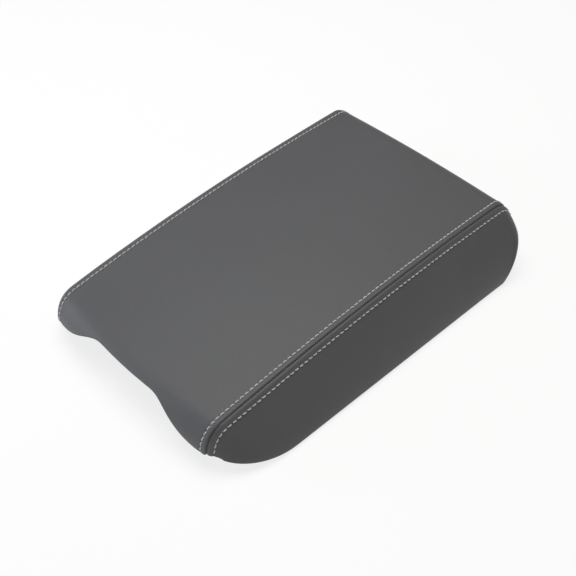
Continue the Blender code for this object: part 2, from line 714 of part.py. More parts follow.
def hinge_upper_leaf(steel):
    """Steel leaf screwed to the shell, with an ear at each end for the pin."""
    y0 = HINGE_Y - HINGE_LEAF_LENGTH
    y1 = HINGE_Y - HINGE_LEAF_SET_BACK
    bottom = HINGE_PLATE_BOTTOM
    top = bottom + HINGE_STEEL
    outline = [(y0, bottom - HINGE_STEEL), (HINGE_Y - HINGE_EYE, HINGE_PIN_HEIGHT)]
    outline += disc_outline(HINGE_Y, HINGE_PIN_HEIGHT, HINGE_EYE, LEAF_EAR_ARC_DEG)
    outline += [(y1, top), (y0, top)]
    hollow = [(y0 - OVERRUN, bottom - OVERRUN), (HINGE_Y + OVERRUN, bottom - OVERRUN),
              (HINGE_Y + OVERRUN, top + OVERRUN), (y1, top + OVERRUN), (y1, bottom),
              (y0 - OVERRUN, bottom)]
    leaf = u_bracket("hinge_upper_leaf", outline, HINGE_HALF_WIDTH, HINGE_STEEL, hollow, steel)
    bore_x(leaf, (0.0, HINGE_Y, HINGE_PIN_HEIGHT), HINGE_PIN_RADIUS + GAP,
           -2 * HINGE_HALF_WIDTH, 2 * HINGE_HALF_WIDTH)
    for x, y in hinge_screw_spots():
        cut_round(leaf, (x, y, bottom - GAP), SCREW_SHANK + GAP, HINGE_STEEL + 2 * GAP)


def hinge_base(steel):
    """Steel leaf that is screwed to the console, with ears inside those of the upper leaf."""
    half = HINGE_HALF_WIDTH - HINGE_STEEL - GAP
    y0 = HINGE_Y - HINGE_LEAF_LENGTH
    y1 = HINGE_Y - HINGE_PIN_RADIUS
    outline = [(y0, 0.0), (y1, 0.0)]
    outline += disc_outline(HINGE_Y, HINGE_PIN_HEIGHT, HINGE_EYE, BASE_EAR_ARC_DEG)
    outline += [(y0, 2 * HINGE_STEEL)]
    hollow = [(y0 - OVERRUN, HINGE_STEEL), (HINGE_Y + OVERRUN, HINGE_STEEL),
              (HINGE_Y + OVERRUN, OVERRUN), (y0 - OVERRUN, OVERRUN)]
    base = u_bracket("hinge_base", outline, half, HINGE_STEEL, hollow, steel)
    pivot = (0.0, HINGE_Y, HINGE_PIN_HEIGHT)
    bore_x(base, pivot, HINGE_PIN_RADIUS + GAP, -2 * HINGE_HALF_WIDTH, 2 * HINGE_HALF_WIDTH)
    for side in (-1, 1):
        spot = (side * BASE_HOLE_X, (y0 + y1) / 2, -GAP)
        cut_round(base, spot, BASE_HOLE_RADIUS, HINGE_STEEL + 2 * GAP)
    set_origin(base, pivot)


def set_origin(made, point):
    """Move an object's origin to its joint's axis without moving its shape."""
    shift = [p - l for p, l in zip(point, made.location)]
    for vertex in made.data.vertices:
        vertex.co.x -= shift[0]
        vertex.co.y -= shift[1]
        vertex.co.z -= shift[2]
    made.location = point


def coil_length(wire, turns):
    """Length of a spring's coil along its axis."""
    return (2 * wire + GAP) * turns


def torsion_spring(name, steel, pivot, radius, wire, turns, x_start, legs):
    """Coil about X that starts at its top and ends at its bottom, with a leg at each end."""
    _, y, z = pivot
    coil = []
    for part in np.linspace(0.0, 1.0, round(turns * COIL_SEGMENTS) + 1):
        turn = math.pi / 2 + 2 * math.pi * turns * part
        x = x_start + coil_length(wire, turns) * part
        coil.append((x, y + radius * math.cos(turn), z + radius * math.sin(turn)))
    points = [(coil[0][0], *legs[0]), *coil, (coil[-1][0], *legs[1])]
    curve = bpy.data.curves.new(name, "CURVE")
    curve.dimensions = "3D"
    curve.bevel_depth = wire
    curve.bevel_resolution = 1
    curve.use_fill_caps = True
    line = curve.splines.new("POLY")
    line.points.add(len(points) - 1)
    for target, source in zip(line.points, points):
        target.co = (*source, 1.0)
    curve.materials.append(steel)
    made = bpy.data.objects.new(name, curve)
    bpy.context.scene.collection.objects.link(made)
    return made


def hinge_spring(steel):
    """Spring that lifts the lid: one leg under the upper leaf, one on the base."""
    leg_y = HINGE_Y - HINGE_SPRING_LEG
    upper = (leg_y, HINGE_PIN_HEIGHT + HINGE_SPRING_RADIUS)
    lower = (leg_y, HINGE_STEEL + GAP + HINGE_SPRING_WIRE)
    start = -coil_length(HINGE_SPRING_WIRE, HINGE_SPRING_TURNS) / 2
    torsion_spring("hinge_spring", steel, (0.0, HINGE_Y, HINGE_PIN_HEIGHT), HINGE_SPRING_RADIUS,
                   HINGE_SPRING_WIRE, HINGE_SPRING_TURNS, start, (upper, lower))


def latch_housing(plastic):
    """Housing under the shell that carries the latch: a roof and two cheeks."""
    y0 = LATCH_Y - LATCH_ROOF_FRONT
    y1 = LATCH_Y + LATCH_ROOF_REAR
    top = LATCH_ROOF_HEIGHT + LATCH_CHEEK
    half = LATCH_CHEEK_HALF_LENGTH
    outline = [(LATCH_Y + half, LATCH_PIN_HEIGHT), (y1, LATCH_ROOF_HEIGHT), (y1, top), (y0, top),
               (y0, LATCH_ROOF_HEIGHT), (LATCH_Y - half, LATCH_PIN_HEIGHT),
               (LATCH_Y - half / 2, LATCH_CHEEK_BOTTOM), (LATCH_Y + half / 2, LATCH_CHEEK_BOTTOM)]
    hollow = [(y0 - OVERRUN, 0.0), (y1 + OVERRUN, 0.0), (y1 + OVERRUN, LATCH_ROOF_HEIGHT),
              (y0 - OVERRUN, LATCH_ROOF_HEIGHT)]
    housing = u_bracket("latch_housing", outline, LATCH_HALF_WIDTH, LATCH_CHEEK, hollow, plastic)
    bore_x(housing, (0.0, LATCH_Y, LATCH_PIN_HEIGHT), LATCH_PIN_RADIUS + GAP,
           -2 * LATCH_HALF_WIDTH, 2 * LATCH_HALF_WIDTH)
    for x, y in latch_screw_spots():
        spot = (x, y, LATCH_ROOF_HEIGHT - GAP)
        cut_round(housing, spot, SCREW_SHANK + GAP, LATCH_CHEEK + 2 * GAP)


def latch_paddle(plastic):
    """Finger paddle with the hook: pulling its front edge up swings the hook forward."""
    half = LATCH_HALF_WIDTH - LATCH_CHEEK - GAP
    top = LATCH_PIN_HEIGHT - LATCH_SPRING_RADIUS - LATCH_SPRING_WIRE - GAP
    middle = top - PADDLE_PLATE / 2
    bottom = top - PADDLE_PLATE
    y0 = LATCH_Y - PADDLE_REACH
    y1 = LATCH_Y + PADDLE_REAR
    plate = [(y0, bottom - PADDLE_LIP_DROP), (y0 + PADDLE_PLATE, bottom - PADDLE_LIP_DROP),
             (y0 + PADDLE_PLATE + PADDLE_LIP_SLOPE, bottom), (y1, bottom), (y1, top),
             (y0 + PADDLE_PLATE, top), (y0, middle)]
    paddle = add_object("latch_paddle", prism_x("latch_paddle", plate, -half, half), plastic, 40)
    eye = disc_outline(LATCH_Y, LATCH_PIN_HEIGHT, PADDLE_LUG, PADDLE_LUG_ARC_DEG)
    rear = y1 - PADDLE_SHOULDER
    lug = eye + [(LATCH_Y - PADDLE_LUG_FOOT, middle), (rear, middle)]
    hook = eye + [(LATCH_Y - PADDLE_LUG_FOOT, middle), (LATCH_Y - PADDLE_LUG, HOOK_BOTTOM),
                  (LATCH_Y + HOOK_NOSE - PADDLE_PLATE, HOOK_BOTTOM),
                  (LATCH_Y + HOOK_NOSE, HOOK_BOTTOM + PADDLE_PLATE),
                  (rear, HOOK_BOTTOM + PADDLE_PLATE)]
    outer = half - PADDLE_SHOULDER
    shapes = [(lug, -outer, -outer + PADDLE_LUG_WIDTH), (lug, outer - PADDLE_LUG_WIDTH, outer),
              (hook, -HOOK_HALF_WIDTH, HOOK_HALF_WIDTH)]
    for outline, x0, x1 in shapes:
        combine(paddle, as_cutter(prism_x("lug", outline, x0, x1)), "UNION")
    pivot = (0.0, LATCH_Y, LATCH_PIN_HEIGHT)
    bore_x(paddle, pivot, LATCH_PIN_RADIUS + GAP, -2 * half, 2 * half)
    set_origin(paddle, pivot)


def latch_spring(steel):
    """Spring that presses the paddle down: one leg under the roof, one on the paddle."""
    wire = LATCH_SPRING_WIRE
    upper = (LATCH_Y + LATCH_SPRING_REAR_LEG, LATCH_ROOF_HEIGHT - GAP - wire)
    lower = (LATCH_Y - LATCH_SPRING_FRONT_LEG, LATCH_PIN_HEIGHT - LATCH_SPRING_RADIUS)
    torsion_spring("latch_spring", steel, (0.0, LATCH_Y, LATCH_PIN_HEIGHT), LATCH_SPRING_RADIUS,
                   wire, LATCH_SPRING_TURNS, HOOK_HALF_WIDTH + 3 * wire, (upper, lower))


def screws(steel):
    """Every screw of the lid, all of one kind."""
    groups = (("liner_screw", liner_screw_spots(), LINER_HEIGHT, LINER_PLATE),
              ("hinge_screw", hinge_screw_spots(), HINGE_PLATE_BOTTOM, HINGE_STEEL),
              ("latch_screw", latch_screw_spots(), LATCH_ROOF_HEIGHT, LATCH_CHEEK))
    for group, spots, underside, plate in groups:
        for number, (x, y) in enumerate(spots, start=1):
            screw(f"{group}_{number}", steel, (x, y, underside), plate)


def centre_over_origin():
    """Move everything along Y until the origin lies under the middle of the covers' length."""
    ys = [vertex.co.y for made in bpy.data.objects if made.name.startswith("cover_")
          for vertex in made.data.vertices]
    middle = (min(ys) + max(ys)) / 2
    for made in bpy.data.objects:
        made.location.y -= middle


def build():
    """Make every piece of the lid."""
    for old in list(bpy.data.objects):
        bpy.data.objects.remove(old, do_unlink=True)
    leather = material("grey_leather", (0.118, 0.120, 0.126), 0.55)
    foam = material("grey_foam", (0.30, 0.30, 0.29), 0.95)
    shell_plastic = material("black_shell_plastic", (0.020, 0.020, 0.021), 0.55)
    liner_plastic = material("grained_liner_plastic", (0.030, 0.030, 0.032), 0.60)
    latch_plastic = material("satin_latch_plastic", (0.024, 0.024, 0.025), 0.40)
    rubber = material("black_rubber", (0.016, 0.016, 0.016), 0.85)
    steel = material("zinc_plated_steel", (0.55, 0.55, 0.54), 0.35, 1.0)
    black_steel = material("black_hinge_steel", (0.030, 0.030, 0.032), 0.45, 0.8)

    cover_top_panel(leather)
    cover_side_panels(leather)
    layered_solid("foam_pad", full_grid(PAD_OUT), full_grid(PAD_IN), foam)
    lid_shell(shell_plastic)
    inner_liner(liner_plastic)
    bumpers(rubber)
    hinge_upper_leaf(black_steel)
    hinge_base(black_steel)
    hinge_pivot = (0.0, HINGE_Y, HINGE_PIN_HEIGHT)
    pin("hinge_pin", steel, HINGE_PIN_RADIUS, HINGE_HALF_WIDTH, hinge_pivot)
    pin_clip("hinge_pin_clip", steel, HINGE_PIN_RADIUS, HINGE_HALF_WIDTH, hinge_pivot)
    hinge_spring(steel)
    latch_housing(latch_plastic)
    latch_paddle(latch_plastic)
    latch_pivot = (0.0, LATCH_Y, LATCH_PIN_HEIGHT)
    pin("latch_pin", steel, LATCH_PIN_RADIUS, LATCH_HALF_WIDTH, latch_pivot)
    pin_clip("latch_pin_clip", steel, LATCH_PIN_RADIUS, LATCH_HALF_WIDTH, latch_pivot)
    latch_spring(steel)
    screws(steel)
    centre_over_origin()


build()
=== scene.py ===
"""Dressed model of a padded, leather-covered centre console lid, built around its solids.

The lid lies closed: X points to the right, Y to the rear hinge and Z up, in metres.
"""

import logging
import math
from dataclasses import dataclass, field
from enum import Enum
from typing import Any, Callable, Iterable, Sequence, Union

import bmesh
import bpy
import numpy as np
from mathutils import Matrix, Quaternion, Vector, kdtree


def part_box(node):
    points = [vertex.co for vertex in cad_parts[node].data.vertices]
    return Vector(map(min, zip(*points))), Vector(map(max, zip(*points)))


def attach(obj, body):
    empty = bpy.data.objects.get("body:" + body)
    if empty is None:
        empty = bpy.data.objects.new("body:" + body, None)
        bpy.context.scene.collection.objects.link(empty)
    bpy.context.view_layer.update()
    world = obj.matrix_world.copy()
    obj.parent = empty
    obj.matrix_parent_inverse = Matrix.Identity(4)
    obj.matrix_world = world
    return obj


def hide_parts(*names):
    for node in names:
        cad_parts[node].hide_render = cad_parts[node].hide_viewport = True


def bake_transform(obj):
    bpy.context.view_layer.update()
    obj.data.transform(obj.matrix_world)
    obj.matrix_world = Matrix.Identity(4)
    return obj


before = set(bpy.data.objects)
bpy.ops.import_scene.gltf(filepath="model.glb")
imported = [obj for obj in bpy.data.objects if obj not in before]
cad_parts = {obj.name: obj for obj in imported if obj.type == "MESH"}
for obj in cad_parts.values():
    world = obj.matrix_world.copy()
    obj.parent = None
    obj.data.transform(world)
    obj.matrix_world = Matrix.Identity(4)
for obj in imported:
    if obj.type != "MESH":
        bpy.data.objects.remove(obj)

LOG = logging.getLogger("console_lid")
Point = tuple[float, float, float]
Pairs = Sequence[tuple[float, float]]
Piece = bpy.types.Object
Finish = bpy.types.Material
Operand = Union["Signal", float]
HARD_ANGLE = 40.0
SOFT_ANGLE = 50.0
ROUNDED_ANGLE = 35.0
MERGE_DISTANCE = 1e-7


class Body(Enum):
    """The bodies that pieces ride on."""

    LID = "lid"
    BASE = "hinge_base"
    LATCH = "latch"


class Slot(Enum):
    """The record's material slots."""

    LEATHER = "grey_leather"
    FOAM = "grey_foam"
    SHELL = "black_shell_plastic"
    LINER = "grained_liner_plastic"
    LATCH = "satin_latch_plastic"
    RUBBER = "black_rubber"
    PLATED = "zinc_plated_steel"
    BLACK_STEEL = "black_hinge_steel"


class Axis(Enum):
    """The axes that forms are turned about or extruded along."""

    X = "X"
    Z = "Z"


class Joining(Enum):
    """The ways in which one piece is worked into another."""

    CUT = "DIFFERENCE"
    JOIN = "UNION"


# ---------------------------------------------------------------- shader tools


class Signal:
    """A node's output, with arithmetic that adds Math nodes."""

    def __init__(self, bench: "ShaderBench", socket: bpy.types.NodeSocket) -> None:
        """Wrap a socket.

        Args:
            bench: The bench that owns the node tree.
            socket: The output to read from.
        """
        self.bench = bench
        self.socket = socket

    def _math(self, operation: str, first: Operand, second: Operand) -> "Signal":
        """Add one Math node."""
        return self.bench.add("ShaderNodeMath", {"operation": operation}, {0: first, 1: second})

    def __add__(self, other: Operand) -> "Signal":
        """Sum."""
        return self._math("ADD", self, other)

    __radd__ = __add__

    def __sub__(self, other: Operand) -> "Signal":
        """Difference."""
        return self._math("SUBTRACT", self, other)

    def __rsub__(self, other: Operand) -> "Signal":
        """Reflected difference."""
        return self._math("SUBTRACT", other, self)

    def __mul__(self, other: Operand) -> "Signal":
        """Product."""
        return self._math("MULTIPLY", self, other)

    __rmul__ = __mul__


class ShaderBench:
    """One material's node tree and its Principled shader."""

    def __init__(self, name: str) -> None:
        """Start a material.

        Args:
            name: The material's name.
        """
        self.material = bpy.data.materials.new(name)
        self.material.use_nodes = True
        self.tree = self.material.node_tree
        self.shader = self.tree.nodes["Principled BSDF"]

    def add(self, kind: str, settings: dict[str, Any], inputs: dict[Any, Any],
            output: Union[int, str] = 0) -> Signal:
        """Add a node.

        Args:
            kind: Blender's name of the node type.
            settings: Node properties, set first; "stops" holds a ramp's (place, grey) pairs.
            inputs: Values or signals by input name or number.
            output: The output to hand back.

        Returns:
            The chosen output.
        """
        node = self.tree.nodes.new(kind)
        for key, value in settings.items():
            if key == "stops":
                self._set_stops(node.color_ramp, value)
            else:
                setattr(node, key, value)
        for key, value in inputs.items():
            self._feed(node.inputs[key], value)
        return Signal(self, node.outputs[output])

    def _set_stops(self, ramp: bpy.types.ColorRamp, stops: Pairs) -> None:
        """Give a ramp its stops.

        Args:
            ramp: The ramp.
            stops: Place and grey of each stop.
        """
        while len(ramp.elements) < len(stops):
            ramp.elements.new(1.0)
        for element, (place, grey) in zip(ramp.elements, stops):
            element.position = place
            element.color = (grey, grey, grey, 1.0)

    def _feed(self, socket: bpy.types.NodeSocket, value: Any) -> None:
        """Set or link one input.

        Args:
            socket: The input.
            value: A signal, or a plain value.
        """
        if isinstance(value, Signal):
            self.tree.links.new(value.socket, socket)
        else:
            socket.default_value = value

    def finish(self, **inputs: Any) -> Finish:
        """Feed the Principled shader.

        Args:
            **inputs: Values or signals by input name, with underscores for spaces.

        Returns:
            The finished material.
        """
        for key, value in inputs.items():
            self._feed(self.shader.inputs[key.replace("_", " ")], value)
        return self.material

    def place(self) -> Signal:
        """Object coordinates, in metres."""
        return self.add("ShaderNodeTexCoord", {}, {}, "Object")

    def noise(self, at: Signal, scale: float, detail: float = 3.0, rough: float = 0.5) -> Signal:
        """Noise from 0 to 1.

        Args:
            at: Where it is read.
            scale: Features per metre.
            detail: Octaves.
            rough: Weight of the finer octaves.

        Returns:
            The noise value.
        """
        return self.add("ShaderNodeTexNoise", {"noise_dimensions": "3D"},
                        {"Vector": at, "Scale": scale, "Detail": detail, "Roughness": rough})

    def cells(self, at: Signal, scale: float, feature: str = "DISTANCE_TO_EDGE") -> Signal:
        """Cells of a Voronoi pattern, as a distance."""
        return self.add("ShaderNodeTexVoronoi", {"feature": feature},
                        {"Vector": at, "Scale": scale}, "Distance")

    def ramp(self, value: Signal, *stops: tuple[float, float]) -> Signal:
        """A grey ramp through the given stops."""
        return self.add("ShaderNodeValToRGB", {"stops": stops}, {"Fac": value})

    def mix(self, factor: Operand, first: Any, second: Any) -> Signal:
        """Mix two colours.

        Args:
            factor: Share of the second colour.
            first: Colour as four numbers, or a signal.
            second: Colour as four numbers, or a signal.

        Returns:
            The mixed colour.
        """
        return self.add("ShaderNodeMix", {"data_type": "RGBA"}, {0: factor, 6: first, 7: second}, 2)

    def shifted(self, at: Signal, scale: float, reach: float) -> Signal:
        """Coordinates pushed about by noise.

        Args:
            at: The coordinates.
            scale: Features of the push, per metre.
            reach: How far it pushes, in metres.

        Returns:
            The pushed coordinates.
        """
        push = self.add("ShaderNodeTexNoise", {}, {"Vector": at, "Scale": scale, "Detail": 2.0},
                        "Color")
        scaled = self.add("ShaderNodeVectorMath", {"operation": "SCALE"},
                          {0: push, "Scale": reach})
        return self.add("ShaderNodeVectorMath", {"operation": "ADD"}, {0: at, 1: scaled})

    def bump(self, height: Signal, distance: float, strength: float = 1.0,
             over: Union[Signal, None] = None) -> Signal:
        """A normal that leans with a height.

        Args:
            height: Height from 0 to 1.
            distance: What a height of 1 stands for, in metres.
            strength: Share of the effect.
            over: A normal that this one adds to.

        Returns:
            The normal.
        """
        inputs = {"Height": height, "Distance": distance, "Strength": strength}
        if over is not None:
            inputs["Normal"] = over
        return self.add("ShaderNodeBump", {}, inputs)


def grey(level: float, warm: float = 0.0, cool: float = 0.0) -> tuple[float, ...]:
    """A near-neutral colour.

    Args:
        level: Linear brightness.
        warm: Share added to red.
        cool: Share added to blue.

    Returns:
        Red, green, blue and alpha.
    """
    return (level * (1 + warm), level, level * (1 + cool), 1.0)


# ---------------------------------------------------------------- finishes


@dataclass(frozen=True)
class LeatherFinish:
    """Matt dyed leather with a fine pebble grain."""

    name: str = "fine_grain_leather"
    tone: float = 0.0908
    grain_per_metre: float = 1150.0
    pores_per_metre: float = 2600.0
    creases_per_metre: float = 95.0
    clouds_per_metre: float = 14.0
    grain_depth: float = 0.00005
    crease_depth: float = 0.00016
    valley_share: float = 0.8
    painted_valley_shade: float = 0.35
    roughness: float = 0.50
    roughness_play: float = 0.10

    def make(self) -> Finish:
        """Build the material.

        Returns:
            The finished material.
        """
        bench = ShaderBench(self.name)
        at = bench.place()
        soft = bench.shifted(at, 420.0, 0.0007)
        pebbles = bench.cells(soft, self.grain_per_metre)
        valleys = bench.ramp(pebbles, (0.0, 0.0), (0.16, 0.75), (0.5, 1.0))
        pores = bench.noise(soft, self.pores_per_metre, 2.0, 0.6)
        creases = bench.noise(at, self.creases_per_metre, 4.0, 0.55)
        clouds = bench.noise(at, self.clouds_per_metre)
        dark = grey(self.tone * 0.90, -0.015, 0.045)
        light = grey(self.tone * 1.06, -0.02, 0.05)
        tint = bench.mix(clouds, dark, light)
        # Painted shade: the colour is darkened along the grain's valleys.
        colour = bench.mix((1.0 - valleys) * self.painted_valley_shade, tint,
                           grey(self.tone * 0.6, 0.0, 0.03))
        relief = valleys * self.valley_share + pores * (1.0 - self.valley_share)
        folds = bench.bump(creases, self.crease_depth, 0.6)
        normal = bench.bump(relief, self.grain_depth, 0.9, folds)
        play = self.roughness_play
        rough = self.roughness + (1.0 - valleys) * play + (clouds - 0.5) * play
        return bench.finish(Base_Color=colour, Roughness=rough, Normal=normal,
                            Specular_IOR_Level=0.42, Sheen_Weight=0.06, Sheen_Roughness=0.5)


@dataclass(frozen=True)
class ThreadFinish:
    """Twisted polyester thread."""

    name: str = "twisted_thread"
    tone: float = 0.60
    ply_scale: float = 2.2
    fuzz_per_metre: float = 5200.0
    relief_depth: float = 0.00009

    def make(self) -> Finish:
        """Build the material.

        Returns:
            The finished material.
        """
        bench = ShaderBench(self.name)
        laid = bench.add("ShaderNodeTexCoord", {}, {}, "UV")
        plies = bench.add("ShaderNodeTexWave",
                          {"wave_type": "BANDS", "bands_direction": "DIAGONAL"},
                          {"Vector": laid, "Scale": self.ply_scale, "Distortion": 0.6,
                           "Detail": 1.0})
        fuzz = bench.noise(bench.place(), self.fuzz_per_metre, 2.0)
        # Painted shade: the grooves between the plies are darker and the crests lighter, on the
        # same bands as the relief.
        colour = bench.mix(plies, grey(self.tone * 0.72, 0.0, 0.01),
                           grey(self.tone * 1.1, 0.0, 0.02))
        normal = bench.bump(plies * 0.8 + fuzz * 0.2, self.relief_depth, 0.8)
        return bench.finish(Base_Color=colour, Roughness=0.62 + fuzz * 0.15, Normal=normal,
                            Sheen_Weight=0.3, Sheen_Roughness=0.4)


@dataclass(frozen=True)
class FoamFinish:
    """Open-cell foam."""

    name: str = "open_cell_foam"
    tone: float = 0.30
    cells_per_metre: float = 900.0
    cell_depth: float = 0.0004

    def make(self) -> Finish:
        """Build the material.

        Returns:
            The finished material.
        """
        bench = ShaderBench(self.name)
        at = bench.place()
        pores = bench.ramp(bench.cells(bench.shifted(at, 500.0, 0.001), self.cells_per_metre),
                           (0.0, 1.0), (0.25, 0.45), (0.6, 0.0))
        blotches = bench.noise(at, 60.0)
        lit = bench.mix(blotches, grey(self.tone * 0.9, 0.02, -0.04), grey(self.tone * 1.1))
        # Painted shade: the pores between the cell walls are darkened in the colour.
        colour = bench.mix((1.0 - pores) * 0.5, lit, grey(self.tone * 0.35))
        normal = bench.bump(pores, self.cell_depth, 0.9)
        return bench.finish(Base_Color=colour, Roughness=0.95, Normal=normal)


@dataclass(frozen=True)
class MouldedFinish:
    """Moulded plastic with an eroded grain."""

    name: str
    tone: float
    roughness: float
    grain_per_metre: float
    grain_depth: float
    flow_per_metre: float = 22.0
    scuffs_per_metre: float = 160.0

    def make(self) -> Finish:
        """Build the material.

        Returns:
            The finished material.
        """
        bench = ShaderBench(self.name)
        at = bench.place()
        grain = bench.cells(bench.shifted(at, 900.0, 0.0004), self.grain_per_metre, "SMOOTH_F1")
        fine = bench.noise(at, self.grain_per_metre * 2.3, 2.0)
        flow = bench.noise(at, self.flow_per_metre, 2.0)
        scuffs = bench.ramp(bench.noise(at, self.scuffs_per_metre, 5.0, 0.7),
                            (0.55, 0.0), (0.8, 1.0))
        colour = bench.mix(flow, grey(self.tone * 0.85), grey(self.tone * 1.15, 0.0, 0.02))
        worn = bench.mix(scuffs * 0.25, colour, grey(self.tone * 2.0))
        normal = bench.bump(grain * 0.7 + fine * 0.3, self.grain_depth, 0.8)
        rough = self.roughness + fine * 0.08 + scuffs * 0.06
        return bench.finish(Base_Color=worn, Roughness=rough, Normal=normal,
                            Specular_IOR_Level=0.45)


@dataclass(frozen=True)
class RubberFinish:
    """Soft black rubber with a dusty bloom."""

    name: str = "bumper_rubber"
    tone: float = 0.018
    bloom_per_metre: float = 240.0
    skin_per_metre: float = 3000.0
    skin_depth: float = 0.00004

    def make(self) -> Finish:
        """Build the material.

        Returns:
            The finished material.
        """
        bench = ShaderBench(self.name)
        at = bench.place()
        bloom = bench.noise(at, self.bloom_per_metre, 4.0, 0.65)
        skin = bench.noise(at, self.skin_per_metre, 2.0)
        colour = bench.mix(bloom, grey(self.tone * 0.8), grey(self.tone * 2.0, 0.03))
        normal = bench.bump(skin, self.skin_depth, 0.7)
        return bench.finish(Base_Color=colour, Roughness=0.72 + bloom * 0.2, Normal=normal,
                            Specular_IOR_Level=0.35)


@dataclass(frozen=True)
class PlatedFinish:
    """Zinc-plated steel, faintly spangled."""

    name: str = "zinc_plate"
    tone: float = 0.56
    spangle_per_metre: float = 700.0
    haze_per_metre: float = 320.0
    drawn_per_metre: float = 4200.0
    relief_depth: float = 0.000012

    def make(self) -> Finish:
        """Build the material.

        Returns:
            The finished material.
        """
        bench = ShaderBench(self.name)
        at = bench.place()
        spangle = bench.cells(at, self.spangle_per_metre, "F1")
        haze = bench.noise(at, self.haze_per_metre, 4.0, 0.6)
        drawn = bench.noise(at, self.drawn_per_metre, 2.0)
        colour = bench.mix(haze, grey(self.tone * 0.82, 0.02, -0.02),
                           grey(self.tone * 1.1, 0.0, 0.03))
        normal = bench.bump(drawn * 0.6 + spangle * 0.4, self.relief_depth, 0.7)
        return bench.finish(Base_Color=colour, Roughness=0.26 + haze * 0.22, Normal=normal,
                            Metallic=1.0)


@dataclass(frozen=True)
class CoatedSteelFinish:
    """Black electrocoat on pressed steel, bright in patches where the coat has rubbed through."""

    name: str = "black_electrocoat"
    tone: float = 0.026
    bright: float = 0.30
    peel_per_metre: float = 900.0
    haze_per_metre: float = 120.0
    rubs_per_metre: float = 340.0
    peel_depth: float = 0.00002

    def make(self) -> Finish:
        """Build the material.

        Returns:
            The finished material.
        """
        bench = ShaderBench(self.name)
        at = bench.place()
        peel = bench.noise(at, self.peel_per_metre)
        haze = bench.noise(at, self.haze_per_metre, 4.0, 0.6)
        rubbed = bench.ramp(bench.noise(at, self.rubs_per_metre, 6.0, 0.7),
                            (0.66, 0.0), (0.74, 1.0))
        coat = bench.mix(haze, grey(self.tone * 0.8), grey(self.tone * 1.5))
        colour = bench.mix(rubbed * 0.5, coat, grey(self.bright))
        normal = bench.bump(peel, self.peel_depth, 0.7)
        return bench.finish(Base_Color=colour, Roughness=0.34 + haze * 0.2, Normal=normal,
                            Metallic=rubbed * 0.6)


# ---------------------------------------------------------------- mesh tools


def unit(vectors: np.ndarray) -> np.ndarray:
    """Vectors, in the last axis of an array, made one long."""
    return vectors / np.linalg.norm(vectors, axis=-1, keepdims=True)


def middle_of(node: str) -> Point:
    """Middle of a solid's box."""
    low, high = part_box(node)
    return tuple((a + b) / 2 for a, b in zip(low, high))


def solids(word: str) -> list[str]:
    """Names of the solids that hold a word, in order."""
    return sorted(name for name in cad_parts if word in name)


